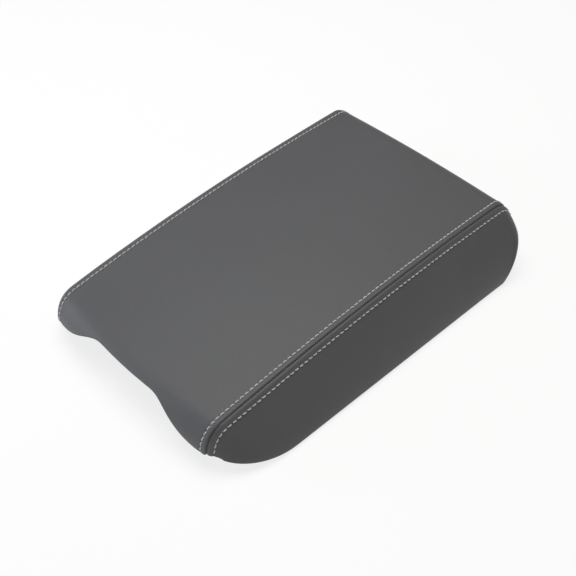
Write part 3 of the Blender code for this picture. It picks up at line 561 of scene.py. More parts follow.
class Workshop:
    """Tools that turn numbers into meshes."""

    @staticmethod
    def link(name: str, mesh: bpy.types.Mesh) -> Piece:
        """Put a mesh in the scene.

        Args:
            name: The piece's name.
            mesh: Its mesh.

        Returns:
            The piece, with its origin at the frame's.
        """
        made = bpy.data.objects.new(name, mesh)
        bpy.context.scene.collection.objects.link(made)
        return made

    @staticmethod
    def mesh(name: str, points: np.ndarray, faces: Iterable[Sequence[int]]) -> bpy.types.Mesh:
        """Make a mesh with outward faces.

        Args:
            name: The mesh's name.
            points: Its corners, n by 3.
            faces: Corner numbers of each face.

        Returns:
            The mesh.
        """
        made = bpy.data.meshes.new(name)
        made.from_pydata(np.asarray(points, float).tolist(), [], [list(f) for f in faces])
        bm = bmesh.new()
        bm.from_mesh(made)
        bmesh.ops.remove_doubles(bm, verts=bm.verts, dist=MERGE_DISTANCE)
        bmesh.ops.recalc_face_normals(bm, faces=bm.faces)
        bm.to_mesh(made)
        bm.free()
        return made

    @staticmethod
    def rings(loops: np.ndarray) -> tuple[np.ndarray, list[list[int]]]:
        """Join closed loops of points into one skin, filled at both ends.

        Args:
            loops: Loops, m by n by 3.

        Returns:
            The points and the faces.
        """
        count, size = loops.shape[:2]
        faces = []
        for i in range(count - 1):
            for j in range(size):
                k = (j + 1) % size
                faces.append([i * size + j, i * size + k, (i + 1) * size + k, (i + 1) * size + j])
        faces.append(list(range(size)))
        faces.append([(count - 1) * size + j for j in range(size)])
        return loops.reshape(-1, 3), faces

    @classmethod
    def turned(cls, name: str, profile: Pairs, centre: Point,
               axis: Axis = Axis.Z, segments: int = 48) -> Piece:
        """Turn a profile about an axis.

        Args:
            name: The piece's name.
            profile: Radius and place along the axis, from end to end.
            centre: The point that the axis goes through.
            axis: The axis's direction.
            segments: Steps round the axis.

        Returns:
            The piece.
        """
        turn = np.linspace(0, 2 * math.pi, segments, endpoint=False)
        loops = []
        for radius, place in profile:
            a, b = radius * np.cos(turn), radius * np.sin(turn)
            along = np.full(segments, place)
            loops.append(np.stack([a, b, along] if axis is Axis.Z else [along, a, b], axis=1))
        points, faces = cls.rings(np.array(loops) + np.array(centre))
        return cls.link(name, cls.mesh(name, points, faces))

    @classmethod
    def prism(cls, name: str, outline: Pairs, low: float, high: float,
              axis: Axis = Axis.X) -> Piece:
        """Extrude an outline.

        Args:
            name: The piece's name.
            outline: Y and Z of each corner, or X and Y where the axis is Z.
            low: One end.
            high: The other end.
            axis: The direction that it is extruded in.

        Returns:
            The piece.
        """
        flat = np.array(outline, float)
        loops = []
        for place in (low, high):
            along = np.full(len(flat), place)
            loops.append(np.column_stack([flat, along] if axis is Axis.Z else [along, flat]))
        points, faces = cls.rings(np.array(loops))
        return cls.link(name, cls.mesh(name, points, faces))

    @staticmethod
    def rounded_box(x: float, y0: float, y1: float, radius: float,
                    steps: int = 6) -> list[tuple[float, float]]:
        """Plan outline of a rectangle with round corners.

        Args:
            x: Half width.
            y0: Front edge.
            y1: Rear edge.
            radius: Corner radius.
            steps: Points in each corner.

        Returns:
            The outline's points.
        """
        corners = ((x - radius, y0 + radius, -90), (x - radius, y1 - radius, 0),
                   (-x + radius, y1 - radius, 90), (-x + radius, y0 + radius, 180))
        outline = []
        for cx, cy, start in corners:
            for turn in np.radians(np.linspace(start, start + 90, steps)):
                outline.append((cx + radius * math.cos(turn), cy + radius * math.sin(turn)))
        return outline

    @staticmethod
    def combine(made: Piece, other: Piece, joining: Joining = Joining.CUT) -> None:
        """Cut or join with another piece, which is used up.

        Args:
            made: The piece that stays.
            other: The piece that is used up.
            joining: What is done with it.
        """
        step = made.modifiers.new("cut", "BOOLEAN")
        step.operation = joining.value
        step.solver = "EXACT"
        step.object = other
        Workshop.settle(made)
        bpy.data.objects.remove(other)

    @staticmethod
    def settle(made: Piece) -> None:
        """Write a piece's modifiers into its mesh.

        Args:
            made: The piece.
        """
        bpy.context.view_layer.update()
        graph = bpy.context.evaluated_depsgraph_get()
        mesh = bpy.data.meshes.new_from_object(made.evaluated_get(graph))
        made.modifiers.clear()
        made.data = mesh

    @staticmethod
    def soften(made: Piece, width: float, segments: int = 2) -> None:
        """Round the sharp edges.

        Args:
            made: The piece.
            width: Width of the rounding.
            segments: Steps across it.
        """
        bevel = made.modifiers.new("rounding", "BEVEL")
        bevel.width = width
        bevel.segments = segments
        bevel.limit_method = "ANGLE"
        bevel.angle_limit = math.radians(ROUNDED_ANGLE)
        bevel.miter_outer = "MITER_ARC"
        Workshop.settle(made)

    @staticmethod
    def shade(made: Piece, angle: float) -> None:
        """Shade smooth, except over edges sharper than an angle in degrees."""
        made.data.shade_smooth()
        made.data.set_sharp_from_angle(angle=math.radians(angle))

    @classmethod
    def tube(cls, path: np.ndarray, radius: Union[float, np.ndarray], sides: int,
             up: np.ndarray) -> tuple[np.ndarray, list[list[int]], list[tuple[float, float]]]:
        """Sweep a round section along a path.

        Args:
            path: Points of the centre line.
            radius: Section radius, for all or for each point.
            sides: Sides of the section.
            up: A direction for each point that is never along the path.

        Returns:
            The points, the faces, and for each point its place along and round the tube.
        """
        along = unit(np.gradient(path, axis=0))
        side = unit(np.cross(along, up))
        rise = np.cross(side, along)
        turn = np.linspace(0, 2 * math.pi, sides, endpoint=False)
        spread = np.broadcast_to(np.asarray(radius, float), len(path))[:, None, None]
        loops = (path[:, None] + spread * (np.cos(turn)[None, :, None] * side[:, None]
                                           + np.sin(turn)[None, :, None] * rise[:, None]))
        points, faces = cls.rings(loops)
        laid = [(float(s), float(t / (2 * math.pi))) for s in cls.distances(path) for t in turn]
        return points, faces, laid

    @staticmethod
    def distances(path: np.ndarray) -> np.ndarray:
        """Distance of each point of a path from its start."""
        steps = np.linalg.norm(np.diff(path, axis=0), axis=1)
        return np.concatenate([[0.0], np.cumsum(steps)])

    @staticmethod
    def sampled(values: np.ndarray, along: np.ndarray,
                wanted: Union[float, np.ndarray]) -> np.ndarray:
        """Rows of values, which lie at the places along, read at the wanted places."""
        return np.stack([np.interp(wanted, along, column) for column in values.T], axis=-1)

    @classmethod
    def resample(cls, path: np.ndarray, count: int, start: float = 0.0,
                 end: float = 0.0) -> np.ndarray:
        """Read evenly spaced points of a path, with both ends trimmed."""
        along = cls.distances(path)
        return cls.sampled(path, along, np.linspace(start, along[-1] - end, count))

    @classmethod
    def between(cls, name: str, outer: np.ndarray, inner: np.ndarray) -> Piece:
        """Close two grids of one size into a solid.

        Args:
            name: The piece's name.
            outer: Points by row and column.
            inner: The points under them.

        Returns:
            The piece.
        """
        rows, columns = outer.shape[:2]
        size = rows * columns
        number = np.arange(size).reshape(rows, columns)
        cells = np.stack([number[:-1, :-1], number[:-1, 1:], number[1:, 1:], number[1:, :-1]],
                         axis=-1).reshape(-1, 4)
        border = np.concatenate([number[:, 0], number[-1, 1:], number[-2::-1, -1],
                                 number[0, -2:0:-1]])
        after = np.roll(border, -1)
        wall = np.stack([border, after, after + size, border + size], axis=-1)
        points = np.concatenate([outer.reshape(-1, 3), inner.reshape(-1, 3)])
        return cls.link(name, cls.mesh(name, points, np.concatenate([cells, cells + size, wall])))


def dress(made: Piece, body: Body, finish: Finish,
          replaces: Sequence[str] = ()) -> None:
    """Give a piece its finish and attach it to the body that it rides on.

    Args:
        made: The piece.
        body: The body that it rides on.
        finish: Its material.
        replaces: The solids that it stands for.
    """
    made.data.materials.clear()
    made.data.materials.append(finish)
    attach(made, body.value)
    if replaces:
        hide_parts(*replaces)
    LOG.info("%s: %d faces", made.name, len(made.data.polygons))


def complete(made: Piece, body: Body, finish: Finish,
             node: str, edge: float = 0.0) -> None:
    """Round, shade and dress a hard piece that stands for one solid.

    Args:
        made: The piece.
        body: The body that it rides on.
        finish: Its material.
        node: The solid that it stands for.
        edge: Width of the rounding on its sharp edges, or 0 for none.
    """
    if edge:
        Workshop.soften(made, edge)
    Workshop.shade(made, HARD_ANGLE)
    dress(made, body, finish, [node])


# ---------------------------------------------------------------- the lid's form


@dataclass(frozen=True)
class Depth:
    """Depth of a layer below the skin, over the flat top and round the edges."""

    top: float
    edge: float


@dataclass(frozen=True)
class LidForm:
    """The lid's outer form, with the layers below it."""

    length: float = 0.3135
    seam_half_width: float = 0.0835
    hem_half_width: float = 0.112
    height_front: float = 0.034
    height_rear: float = 0.053
    crown_long: float = 0.0075
    crown_cross: float = 0.0022
    width_taper: float = 0.030
    hem_lift: float = 0.0004
    # The nose: a quarter of a superellipse over the front edge.
    nose_reach: float = 0.0178
    nose_drop: float = 0.0210
    nose_fullness: float = 2.36
    nose_bow: float = 0.0072
    front_hem_height: float = 0.0144
    recess_rise: float = 0.0184
    recess_half_width: float = 0.077
    recess_ease: float = 0.048
    front_corner: float = 0.0517
    rear_corner: float = 0.0195
    front_set_back: float = 0.0037
    rear_reach: float = 0.0149
    rear_drop: float = 0.0174
    rear_hem_height: float = 0.0109
    rear_undercut: float = 0.0135
    undercut_bend: float = 1.3
    rear_ease: float = 0.071
    rear_fall: float = 46.0
    rear_swell: float = 0.60
    # How far the sides belly out and back at the rear, and its fading towards the hem.
    rear_bulge: Point = (0.0060, 0.0180, 0.0)
    bulge_below: float = 3.0
    side_fall: float = 54.0
    side_swell: float = 0.34
    nose_fall: float = 62.0
    nose_swell: float = 0.285
    fall_ease: float = 0.050
    hem_swell: float = 0.153
    panel_nose_width: float = 0.0084
    # The foam's ramp, how the ridge closes under the skin, and the grid's rows.
    foam_ramp: float = 0.040
    ridge_closing: float = 0.36
    nose_rows: int = 14
    top_rows: int = 122
    rear_rows: int = 27
    shift_y: float = -0.002163
    # Columns near the seam: the most of a short row that they fill, and those left unmoved.
    near_share: float = 0.72
    near_kept: float = 0.0066
    near_kept_share: float = 0.6
    samples: int = 160

    @property
    def front(self) -> float:
        """Foremost Y, before the shift."""
        return -self.length / 2

    @property
    def rear(self) -> float:
        """Rearmost Y, before the shift."""
        return self.length / 2

    @staticmethod
    def smooth(u: Any) -> Any:
        """Ease from 0 to 1 as u goes from 0 to 1."""
        u = np.clip(u, 0.0, 1.0)
        return u * u * (3 - 2 * u)

    def top_height(self, x: float, y: Any) -> Any:
        """Height of the skin between the seams.

        Args:
            x: Place across the lid.
            y: Place, or places, along it.

        Returns:
            The height at each place.
        """
        wedge = self.height_front + (self.height_rear - self.height_front) * (y / self.length + 0.5)
        crown = self.crown_long * (1 - (2 * y / self.length) ** 2)
        return wedge + crown + self.crown_cross * (1 - (x / self.seam_half_width) ** 2)

    def front_hem(self, x: float) -> float:
        """Height of the nose's lower edge."""
        rise = self.smooth((self.recess_half_width - abs(x)) / self.recess_ease)
        return float(self.front_hem_height + self.recess_rise * rise)

    def nose_front(self, x: float) -> float:
        """Foremost Y of the nose at x."""
        return self.front + self.nose_bow * (x / self.seam_half_width) ** 2

    def nose_curve(self, x: float, depth: Depth) -> np.ndarray:
        """The nose in the Y-Z plane, from its lower edge to the flat top.

        Args:
            x: Place across the lid.
            depth: The layer.

        Returns:
            Y and Z of each point.
        """
        front = self.nose_front(x)
        rise = (self.front_hem(x) - self.top_height(x, front) + self.nose_drop) / self.nose_drop
        start = math.asin(min(max(rise, 0.0), 1.0) ** (self.nose_fullness / 2))
        angle = np.linspace(start, math.pi / 2, self.samples)
        forward = np.cos(angle) ** (2 / self.nose_fullness)
        upward = np.sin(angle) ** (2 / self.nose_fullness)
        y = front + depth.edge + (self.nose_reach - depth.edge) * (1 - forward)
        z = self.top_height(x, y) - depth.edge - (self.nose_drop - depth.edge) * (1 - upward)
        if rise < 0:
            y = np.concatenate([[y[0]], y])
            z = np.concatenate([[self.front_hem(x)], z])
        return np.stack([y, z], axis=1)

    def rear_curve(self, x: float, depth: Depth) -> np.ndarray:
        """The rear edge in the Y-Z plane, from the flat top to the rear hem.

        Args:
            x: Place across the lid.
            depth: The layer.

        Returns:
            Y and Z of each point.
        """
        angle = np.linspace(math.pi / 2, 0.0, self.samples)
        y = self.rear - self.rear_reach + (self.rear_reach - depth.edge) * np.cos(angle)
        z = self.top_height(x, y) - depth.edge - (self.rear_drop - depth.edge) * (1 - np.sin(angle))
        down = np.linspace(0.0, 1.0, self.samples)[1:]
        y = np.concatenate([y, y[-1] - self.rear_undercut * down ** self.undercut_bend])
        z = np.concatenate([z, z[-1] + (self.rear_hem_height - z[-1]) * down])
        return np.stack([y, z], axis=1)

    def strip(self, x: float, depth: Depth, trim: float = 0.0) -> np.ndarray:
        """One lengthwise line of the lid, from front to rear.

        Args:
            x: Place across the lid.
            depth: The layer.
            trim: How far both ends are drawn back.

        Returns:
            The line's points.
        """
        nose = Workshop.resample(self.nose_curve(x, depth), self.nose_rows, start=trim)
        rear = Workshop.resample(self.rear_curve(x, depth), self.rear_rows, end=trim)
        first, last = self.nose_front(x) + self.nose_reach, self.rear - self.rear_reach
        ys = np.linspace(first, last, self.top_rows + 2)[1:-1]
        ramp = np.clip(np.minimum(ys - first, last - ys) / self.foam_ramp, 0.0, 1.0)
        deep = depth.edge + (depth.top - depth.edge) * ramp
        flat = np.stack([ys, self.top_height(x, ys) - deep], axis=1)
        line = np.concatenate([nose, flat, rear])
        drawn_in = x * (1 - self.ridge_closing * depth.edge / self.seam_half_width)
        return np.column_stack([np.full(len(line), drawn_in), line])

    def hem(self, depth: Depth) -> np.ndarray:
        """The lower edge of the right side.

        Args:
            depth: The layer.

        Returns:
            One point for each row.
        """
        reach = self.hem_half_width - self.seam_half_width
        first = math.asin(self.panel_nose_width / reach)
        front_y = self.front + self.front_set_back + self.nose_bow + self.front_corner

        def corner(turn: np.ndarray, y: float, radius: float, height: float,
                   sign: int) -> np.ndarray:
            """Round one plan corner.

            Args:
                turn: Angles from the end's direction to the side's.
                y: Y of the corner's centre.
                radius: The corner's radius.
                height: Height of the edge at the end.
                sign: 1 at the rear, -1 at the front.

            Returns:
                The corner's points.
            """
            rise = 1 - self.smooth(turn / (math.pi / 2))
            return np.stack([self.seam_half_width + (reach - depth.edge) * np.sin(turn),
                             y + sign * (radius - depth.edge) * np.cos(turn),
                             self.hem_lift + (height - self.hem_lift) * rise], axis=1)

        front = corner(np.linspace(first, math.pi / 2, self.nose_rows), front_y,
                       self.front_corner, self.front_hem_height, -1)
        rear_y = self.rear - self.rear_undercut - self.rear_corner
        y = np.linspace(front_y, rear_y, self.top_rows + 2)[1:-1]
        flank = np.stack([np.full(len(y), self.hem_half_width - depth.edge), y,
                          np.full(len(y), self.hem_lift)], axis=1)
        rear = corner(np.linspace(math.pi / 2, first, self.rear_rows), rear_y,
                      self.rear_corner, self.rear_hem_height, 1)
        return np.concatenate([front, flank, rear])

    def side_curves(self, depth: Depth) -> np.ndarray:
        """The swelling sections of the right side.

        Args:
            depth: The layer.

        Returns:
            Points by step from the seam to the hem and row along the lid.
        """
        seam = self.strip(self.seam_half_width, depth)
        foot = self.hem(depth)
        along = unit(np.gradient(seam, axis=0))
        outward = np.stack([np.zeros(len(along)), -along[:, 2], along[:, 1]], axis=1)
        past = np.clip((seam[:, 1] - self.front) / self.fall_ease, 0.0, 1.0)[:, None]
        rear = np.clip(1 - (self.rear - seam[:, 1]) / self.rear_ease, 0.0, 1.0)[:, None]
        fall = np.radians(self.nose_fall + (self.side_fall - self.nose_fall) * past
                          + (self.rear_fall - self.side_fall) * rear)
        swell = (self.nose_swell + (self.side_swell - self.nose_swell) * past
                 + (self.rear_swell - self.side_swell) * rear)
        leave = np.cos(fall) * np.array([1.0, 0.0, 0.0]) - np.sin(fall) * outward
        span = np.linalg.norm(foot - seam, axis=1, keepdims=True)
        bulge = np.array(self.rear_bulge) * rear ** 2
        first = seam + leave * swell * span + bulge
        last = foot + np.array([0.0, 0.0, 1.0]) * self.hem_swell * span + bulge / self.bulge_below
        t = np.linspace(0.0, 1.0, self.samples)[:, None, None]
        return ((1 - t) ** 3 * seam + 3 * (1 - t) ** 2 * t * first
                + 3 * (1 - t) * t ** 2 * last + t ** 3 * foot)

    def side_grid(self, depth: Depth, near_seam: Sequence[float], cells: int,
                  trim: float = 0.0) -> np.ndarray:
        """Grid of the right side.

        Args:
            depth: The layer.
            near_seam: Distances of the first columns from the seam.
            cells: Evenly spaced columns from there to the hem.
            trim: How far every outer edge is drawn back.

        Returns:
            Points by row along the lid and column from the seam to the hem.
        """
        curves = self.side_curves(depth)
        rows = []
        for row in range(curves.shape[1]):
            curve = curves[:, row]
            along = Workshop.distances(curve)
            last = along[-1] - trim
            reach = min(near_seam[-1], self.near_share * last)
            kept = min(self.near_kept, self.near_kept_share * reach)
            near = np.interp(near_seam, [0.0, kept, near_seam[-1]], [0.0, kept, reach])
            spread = np.linspace(reach, last, cells + 1)[1:]
            rows.append(Workshop.sampled(curve, along, np.concatenate([near, spread])))
        grid = np.array(rows)
        for end, neighbour in ((0, 1), (-1, -2)):
            grid[end] += unit(grid[neighbour] - grid[end]) * trim
        return self.placed(grid)

    def top_grid(self, depth: Depth, xs: Sequence[float], trim: float = 0.0) -> np.ndarray:
        """Grid of the top: rows from front to rear, one column for each x."""
        return self.placed(np.stack([self.strip(x, depth, trim) for x in xs], axis=1))

    def placed(self, grid: np.ndarray) -> np.ndarray:
        """Widen the plan to the rear and move the lid to its place.

        Args:
            grid: Points of the plain form.

        Returns:
            The placed points.
        """
        grid = grid.copy()
        grid[..., 0] *= 1 + self.width_taper * grid[..., 1] / self.length
        grid[..., 1] += self.shift_y
        return grid


def mirrored(grid: np.ndarray) -> np.ndarray:
    """The left-hand twin of a right-hand grid.

    Args:
        grid: Points by row and column.

    Returns:
        The mirrored points, with the columns in reverse.
    """
    twin = grid[:, ::-1].copy()
    twin[..., 0] *= -1
    return twin


def normals(grid: np.ndarray) -> np.ndarray:
    """Outward normals of a grid that runs front to rear and left to right.

    Args:
        grid: Points by row and column.

    Returns:
        The normal at each point.
    """
    along = np.gradient(grid, axis=0)
    across = np.gradient(grid, axis=1)
    return unit(np.cross(across, along))


# ---------------------------------------------------------------- leather cover


@dataclass(frozen=True)
class SeamProfile:
    """Half of a French seam's section: distance from the seam and rise over the skin."""

    distances: tuple[float, ...]
    rises: tuple[float, ...]


FLAT_FOLD = SeamProfile(
    (0.00012, 0.00022, 0.0005, 0.0010, 0.0018, 0.0028, 0.0034, 0.0040, 0.0047, 0.0060, 0.0080,
     0.0110),
    (-0.0015, -0.0004, 0.00010, 0.00030, 0.00036, 0.00032, 0.00020, 0.0, 0.00006, 0.00012,
     0.00008, 0.0))
ROUND_FOLD = SeamProfile(
    (0.00015, 0.00055, 0.0010, 0.0015, 0.0024, 0.0037, 0.0049, 0.0059, 0.0067, 0.0080, 0.0100,
     0.0130),
    (-0.0016, -0.0014, -0.0008, 0.0, 0.00062, 0.00080, 0.00058, 0.00005, 0.00010, 0.00018,
     0.00012, 0.0))
STITCH_COLUMN = 7


@dataclass(frozen=True)
class Topstitch:
    """Sizes of a row of topstitching."""

    pitch: float = 0.00425
    shown: float = 0.0031
    thread: float = 0.00050
    start: float = 0.003
    dive: float = 0.0007
    slant: float = 0.00016
    arch_power: float = 0.45
    proud: float = 0.55
    end_width: float = 0.80
    plies_per_metre: float = 900.0
    plies_round: float = 2.0
    dimple_depth: float = 0.00035
    dimple_reach: float = 0.0010
    dimple_cut_off: float = 2.2
    smooth_angle: float = 60.0
    sides: int = 8
    rings: int = 9


@dataclass
class LeatherCover:
    """The sewn cover: a top panel, two side panels and four rows of topstitching."""

    form: LidForm
    leather: Finish
    thread: Finish
    thickness: float = 0.0012
    flap: Depth = Depth(0.0127, 0.0074)
    top_fold: SeamProfile = FLAT_FOLD
    side_fold: SeamProfile = ROUND_FOLD
    stitch: Topstitch = field(default_factory=Topstitch)
    top_cells: int = 26
    side_cells: int = 17
    holes: list[tuple[np.ndarray, np.ndarray]] = field(default_factory=list)

    def solid(self, name: str, skin: np.ndarray, turned: np.ndarray, lining: np.ndarray,
              turned_lining: np.ndarray, hem_column: Union[int, None]) -> Piece:
        """Close a panel: skin, leather turned in under its edges, and lining.

        Args:
            name: The piece's name.
            skin: Grid of the grain side.
            turned: Grid of the turned-in edge's far end, for the skin.
            lining: Grid of the flesh side.
            turned_lining: The same for the lining.
            hem_column: Column that is turned in too, or None.

        Returns:
            The panel, smoothly subdivided.
        """
        outer = self.with_flap(skin, turned, hem_column)
        inner = self.with_flap(lining, turned_lining, hem_column)
        made = Workshop.between(name, outer, inner)
        rounding = made.modifiers.new("rounding", "SUBSURF")
        rounding.levels = rounding.render_levels = 1
        Workshop.settle(made)
        return made

    @staticmethod
    def with_flap(skin: np.ndarray, turned: np.ndarray,
                  hem_column: Union[int, None]) -> np.ndarray:
        """Add the turned-in leather to a grid: both end rows, and a hem column.

        Args:
            skin: The grid.
            turned: Grid whose border is where the turned-in leather ends.
            hem_column: 0 or -1 for the column at the hem, or None.

        Returns:
            The wider grid.
        """
        half_front = (skin[:1] + turned[:1]) / 2
        half_rear = (skin[-1:] + turned[-1:]) / 2
        wide = np.concatenate([turned[:1], half_front, skin, half_rear, turned[-1:]])
        if hem_column is None:
            return wide
        edge = slice(0, 1) if hem_column == 0 else slice(-1, None)
        far = np.concatenate([turned[:1, edge], turned[:1, edge], turned[:, edge],
                              turned[-1:, edge], turned[-1:, edge]])
        half = (wide[:, edge] + far) / 2
        parts = [far, half, wide] if hem_column == 0 else [wide, half, far]
        return np.concatenate(parts, axis=1)

    def layers(self, grid: Callable[[Depth, float], np.ndarray],
               lift: np.ndarray) -> tuple[np.ndarray, ...]:
        """Make a panel's four grids.

        Args:
            grid: Gives the panel's points at a depth, with its edges trimmed.
            lift: Rise over the skin of each column.

        Returns:
            Skin, the end of its turned-in edge, lining and the end of the lining's.
        """
        skin = grid(Depth(0.0, 0.0), 0.0)
        lining = grid(Depth(self.thickness, self.thickness), self.thickness)
        for layer, rise in ((skin, lift), (lining, np.minimum(lift, 0.0))):
            layer += normals(layer) * rise[None, :, None]
        return skin, grid(self.flap, 0.0), lining, grid(self.flap, self.thickness)

    def build(self) -> None:
        """Make every piece of the cover."""
        form, column = self.form, STITCH_COLUMN
        near = form.seam_half_width - np.array(self.top_fold.distances)
        middle = np.linspace(-near[-1], near[-1], self.top_cells + 1)[1:-1]
        xs = np.concatenate([-near, middle, near[::-1]])
        rises = self.top_fold.rises
        top = self.layers(lambda depth, trim: form.top_grid(depth, xs, trim),
                          np.concatenate([rises, np.zeros(len(middle)), rises[::-1]]))
        near_seam = np.array(self.side_fold.distances)
        right = self.layers(
            lambda depth, trim: form.side_grid(depth, near_seam, self.side_cells, trim),
            np.concatenate([self.side_fold.rises, np.zeros(self.side_cells)]))
        left = tuple(mirrored(grid) for grid in right)
        for name, grid, at, hand in (("topstitch_top_right", top[0], -1 - column, 1),
                                     ("topstitch_top_left", top[0], column, -1),
                                     ("topstitch_side_right", right[0], column, 1),
                                     ("topstitch_side_left", left[0], -1 - column, -1)):
            self.topstitch(name, grid[:, at], normals(grid)[:, at], hand)
        panels = (("cover_top_leather", "cover_top_panel", None, top),
                  ("cover_right_leather", "cover_side_panel_right", -1, right),
                  ("cover_left_leather", "cover_side_panel_left", 0, left))
        for name, node, hem_column, grids in panels:
            made = self.solid(name, *grids, hem_column)
            self.dimple(made)
            made.data.shade_smooth()
            dress(made, Body.LID, self.leather, [node])

    def topstitch(self, name: str, path: np.ndarray, out: np.ndarray, hand: int) -> None:
        """Sew one row of stitches along a line of the leather.

        Args:
            name: The piece's name.
            path: Points of the line, from front to rear.
            out: The leather's normal at each.
            hand: 1 on the right, -1 on the left, for the stitches' slant.
        """
        size = self.stitch
        along = Workshop.distances(path)
        count = int((along[-1] - 2 * size.start) / size.pitch)
        gap = (size.pitch - size.shown) / 2
        points, faces, laid = [], [], []
        for k in range(count + 1):
            hole = size.start + k * size.pitch
            self.holes.append((Workshop.sampled(path, along, hole),
                               Workshop.sampled(out, along, hole)))
        for k in range(count):
            t = np.linspace(0.0, 1.0, size.rings)
            places = size.start + k * size.pitch + gap + size.shown * t
            base = Workshop.sampled(path, along, places)
            up = unit(Workshop.sampled(out, along, places))
            across = np.cross(unit(np.gradient(base, axis=0)), up) * hand
            arch = np.sin(math.pi * t) ** size.arch_power
            rise = -size.dive + (size.dive + size.thread * size.proud) * arch
            centre = base + up * rise[:, None] + across * (size.slant * (2 * t - 1))[:, None]
            radius = size.thread * (size.end_width + (1 - size.end_width) * arch)
            p, f, uv = Workshop.tube(centre, radius, size.sides, up)
            start = sum(len(q) for q in points)
            faces += [[i + start for i in face] for face in f]
            points.append(p)
            laid += [(u * size.plies_per_metre, v * size.plies_round) for u, v in uv]
        mesh = bpy.data.meshes.new(name)
        mesh.from_pydata(np.concatenate(points).tolist(), [], faces)
        layer = mesh.uv_layers.new(name="laid")
        corners = np.zeros(len(mesh.loops), np.int32)
        mesh.loops.foreach_get("vertex_index", corners)
        layer.data.foreach_set("uv", np.array(laid)[corners].ravel())
        bm = bmesh.new()
        bm.from_mesh(mesh)
        bmesh.ops.recalc_face_normals(bm, faces=bm.faces)
        bm.to_mesh(mesh)
        bm.free()
        made = Workshop.link(name, mesh)
        Workshop.shade(made, size.smooth_angle)
        dress(made, Body.LID, self.thread)

    def dimple(self, made: Piece) -> None:
        """Press the leather in at each stitch hole.

        Args:
            made: The panel.
        """
        reach = self.stitch.dimple_reach
        count = len(made.data.vertices)
        points = np.zeros(count * 3)
        made.data.vertices.foreach_get("co", points)
        points = points.reshape(-1, 3)
        tree = kdtree.KDTree(count)
        for i, p in enumerate(points):
            tree.insert(p, i)
        tree.balance()
        moved = points.copy()
        for hole, out in self.holes:
            for _, i, far in tree.find_range(Vector(hole), reach * self.stitch.dimple_cut_off):
                moved[i] -= out * self.stitch.dimple_depth * math.exp(-((far / reach) ** 2))
        made.data.vertices.foreach_set("co", moved.ravel())
        made.data.update()


# ---------------------------------------------------------------- pad and shell


@dataclass
class FoamPad:
    """The foam between the leather and the shell."""

    form: LidForm
    foam: Finish
    outer: Depth = Depth(0.0017, 0.0017)
    inner: Depth = Depth(0.0097, 0.0044)
    trim: float = 0.0019
    top_cells: int = 20
    side_cells: int = 8
    near_seam: tuple[float, float] = (0.0, 0.004)
    row_step: int = 3

    def build(self) -> None:
        """Make the pad as one closed form."""
        form = self.form
        half = form.seam_half_width
        xs = np.linspace(-half, half, self.top_cells + 1)
        skins = []
        for depth in (self.outer, self.inner):
            right = form.side_grid(depth, self.near_seam, self.side_cells, self.trim)[:, 1:]
            top = form.top_grid(depth, xs, self.trim)
            grid = np.concatenate([mirrored(right), top, right], axis=1)
            skins.append(grid[::self.row_step])
        made = Workshop.between("foam_core", *skins)
        Workshop.shade(made, SOFT_ANGLE)
        dress(made, Body.LID, self.foam, ["foam_pad"])


@dataclass
class MouldedShell:
    """The carried-over shell, with its own finish."""

    plastic: Finish

    def build(self) -> None:
        """Dress the shell's solid."""
        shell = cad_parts["lid_shell"]
        shell.data.materials.clear()
        shell.data.materials.append(self.plastic)
        LOG.info("lid_shell: carried over")


# ---------------------------------------------------------------- liner and fittings


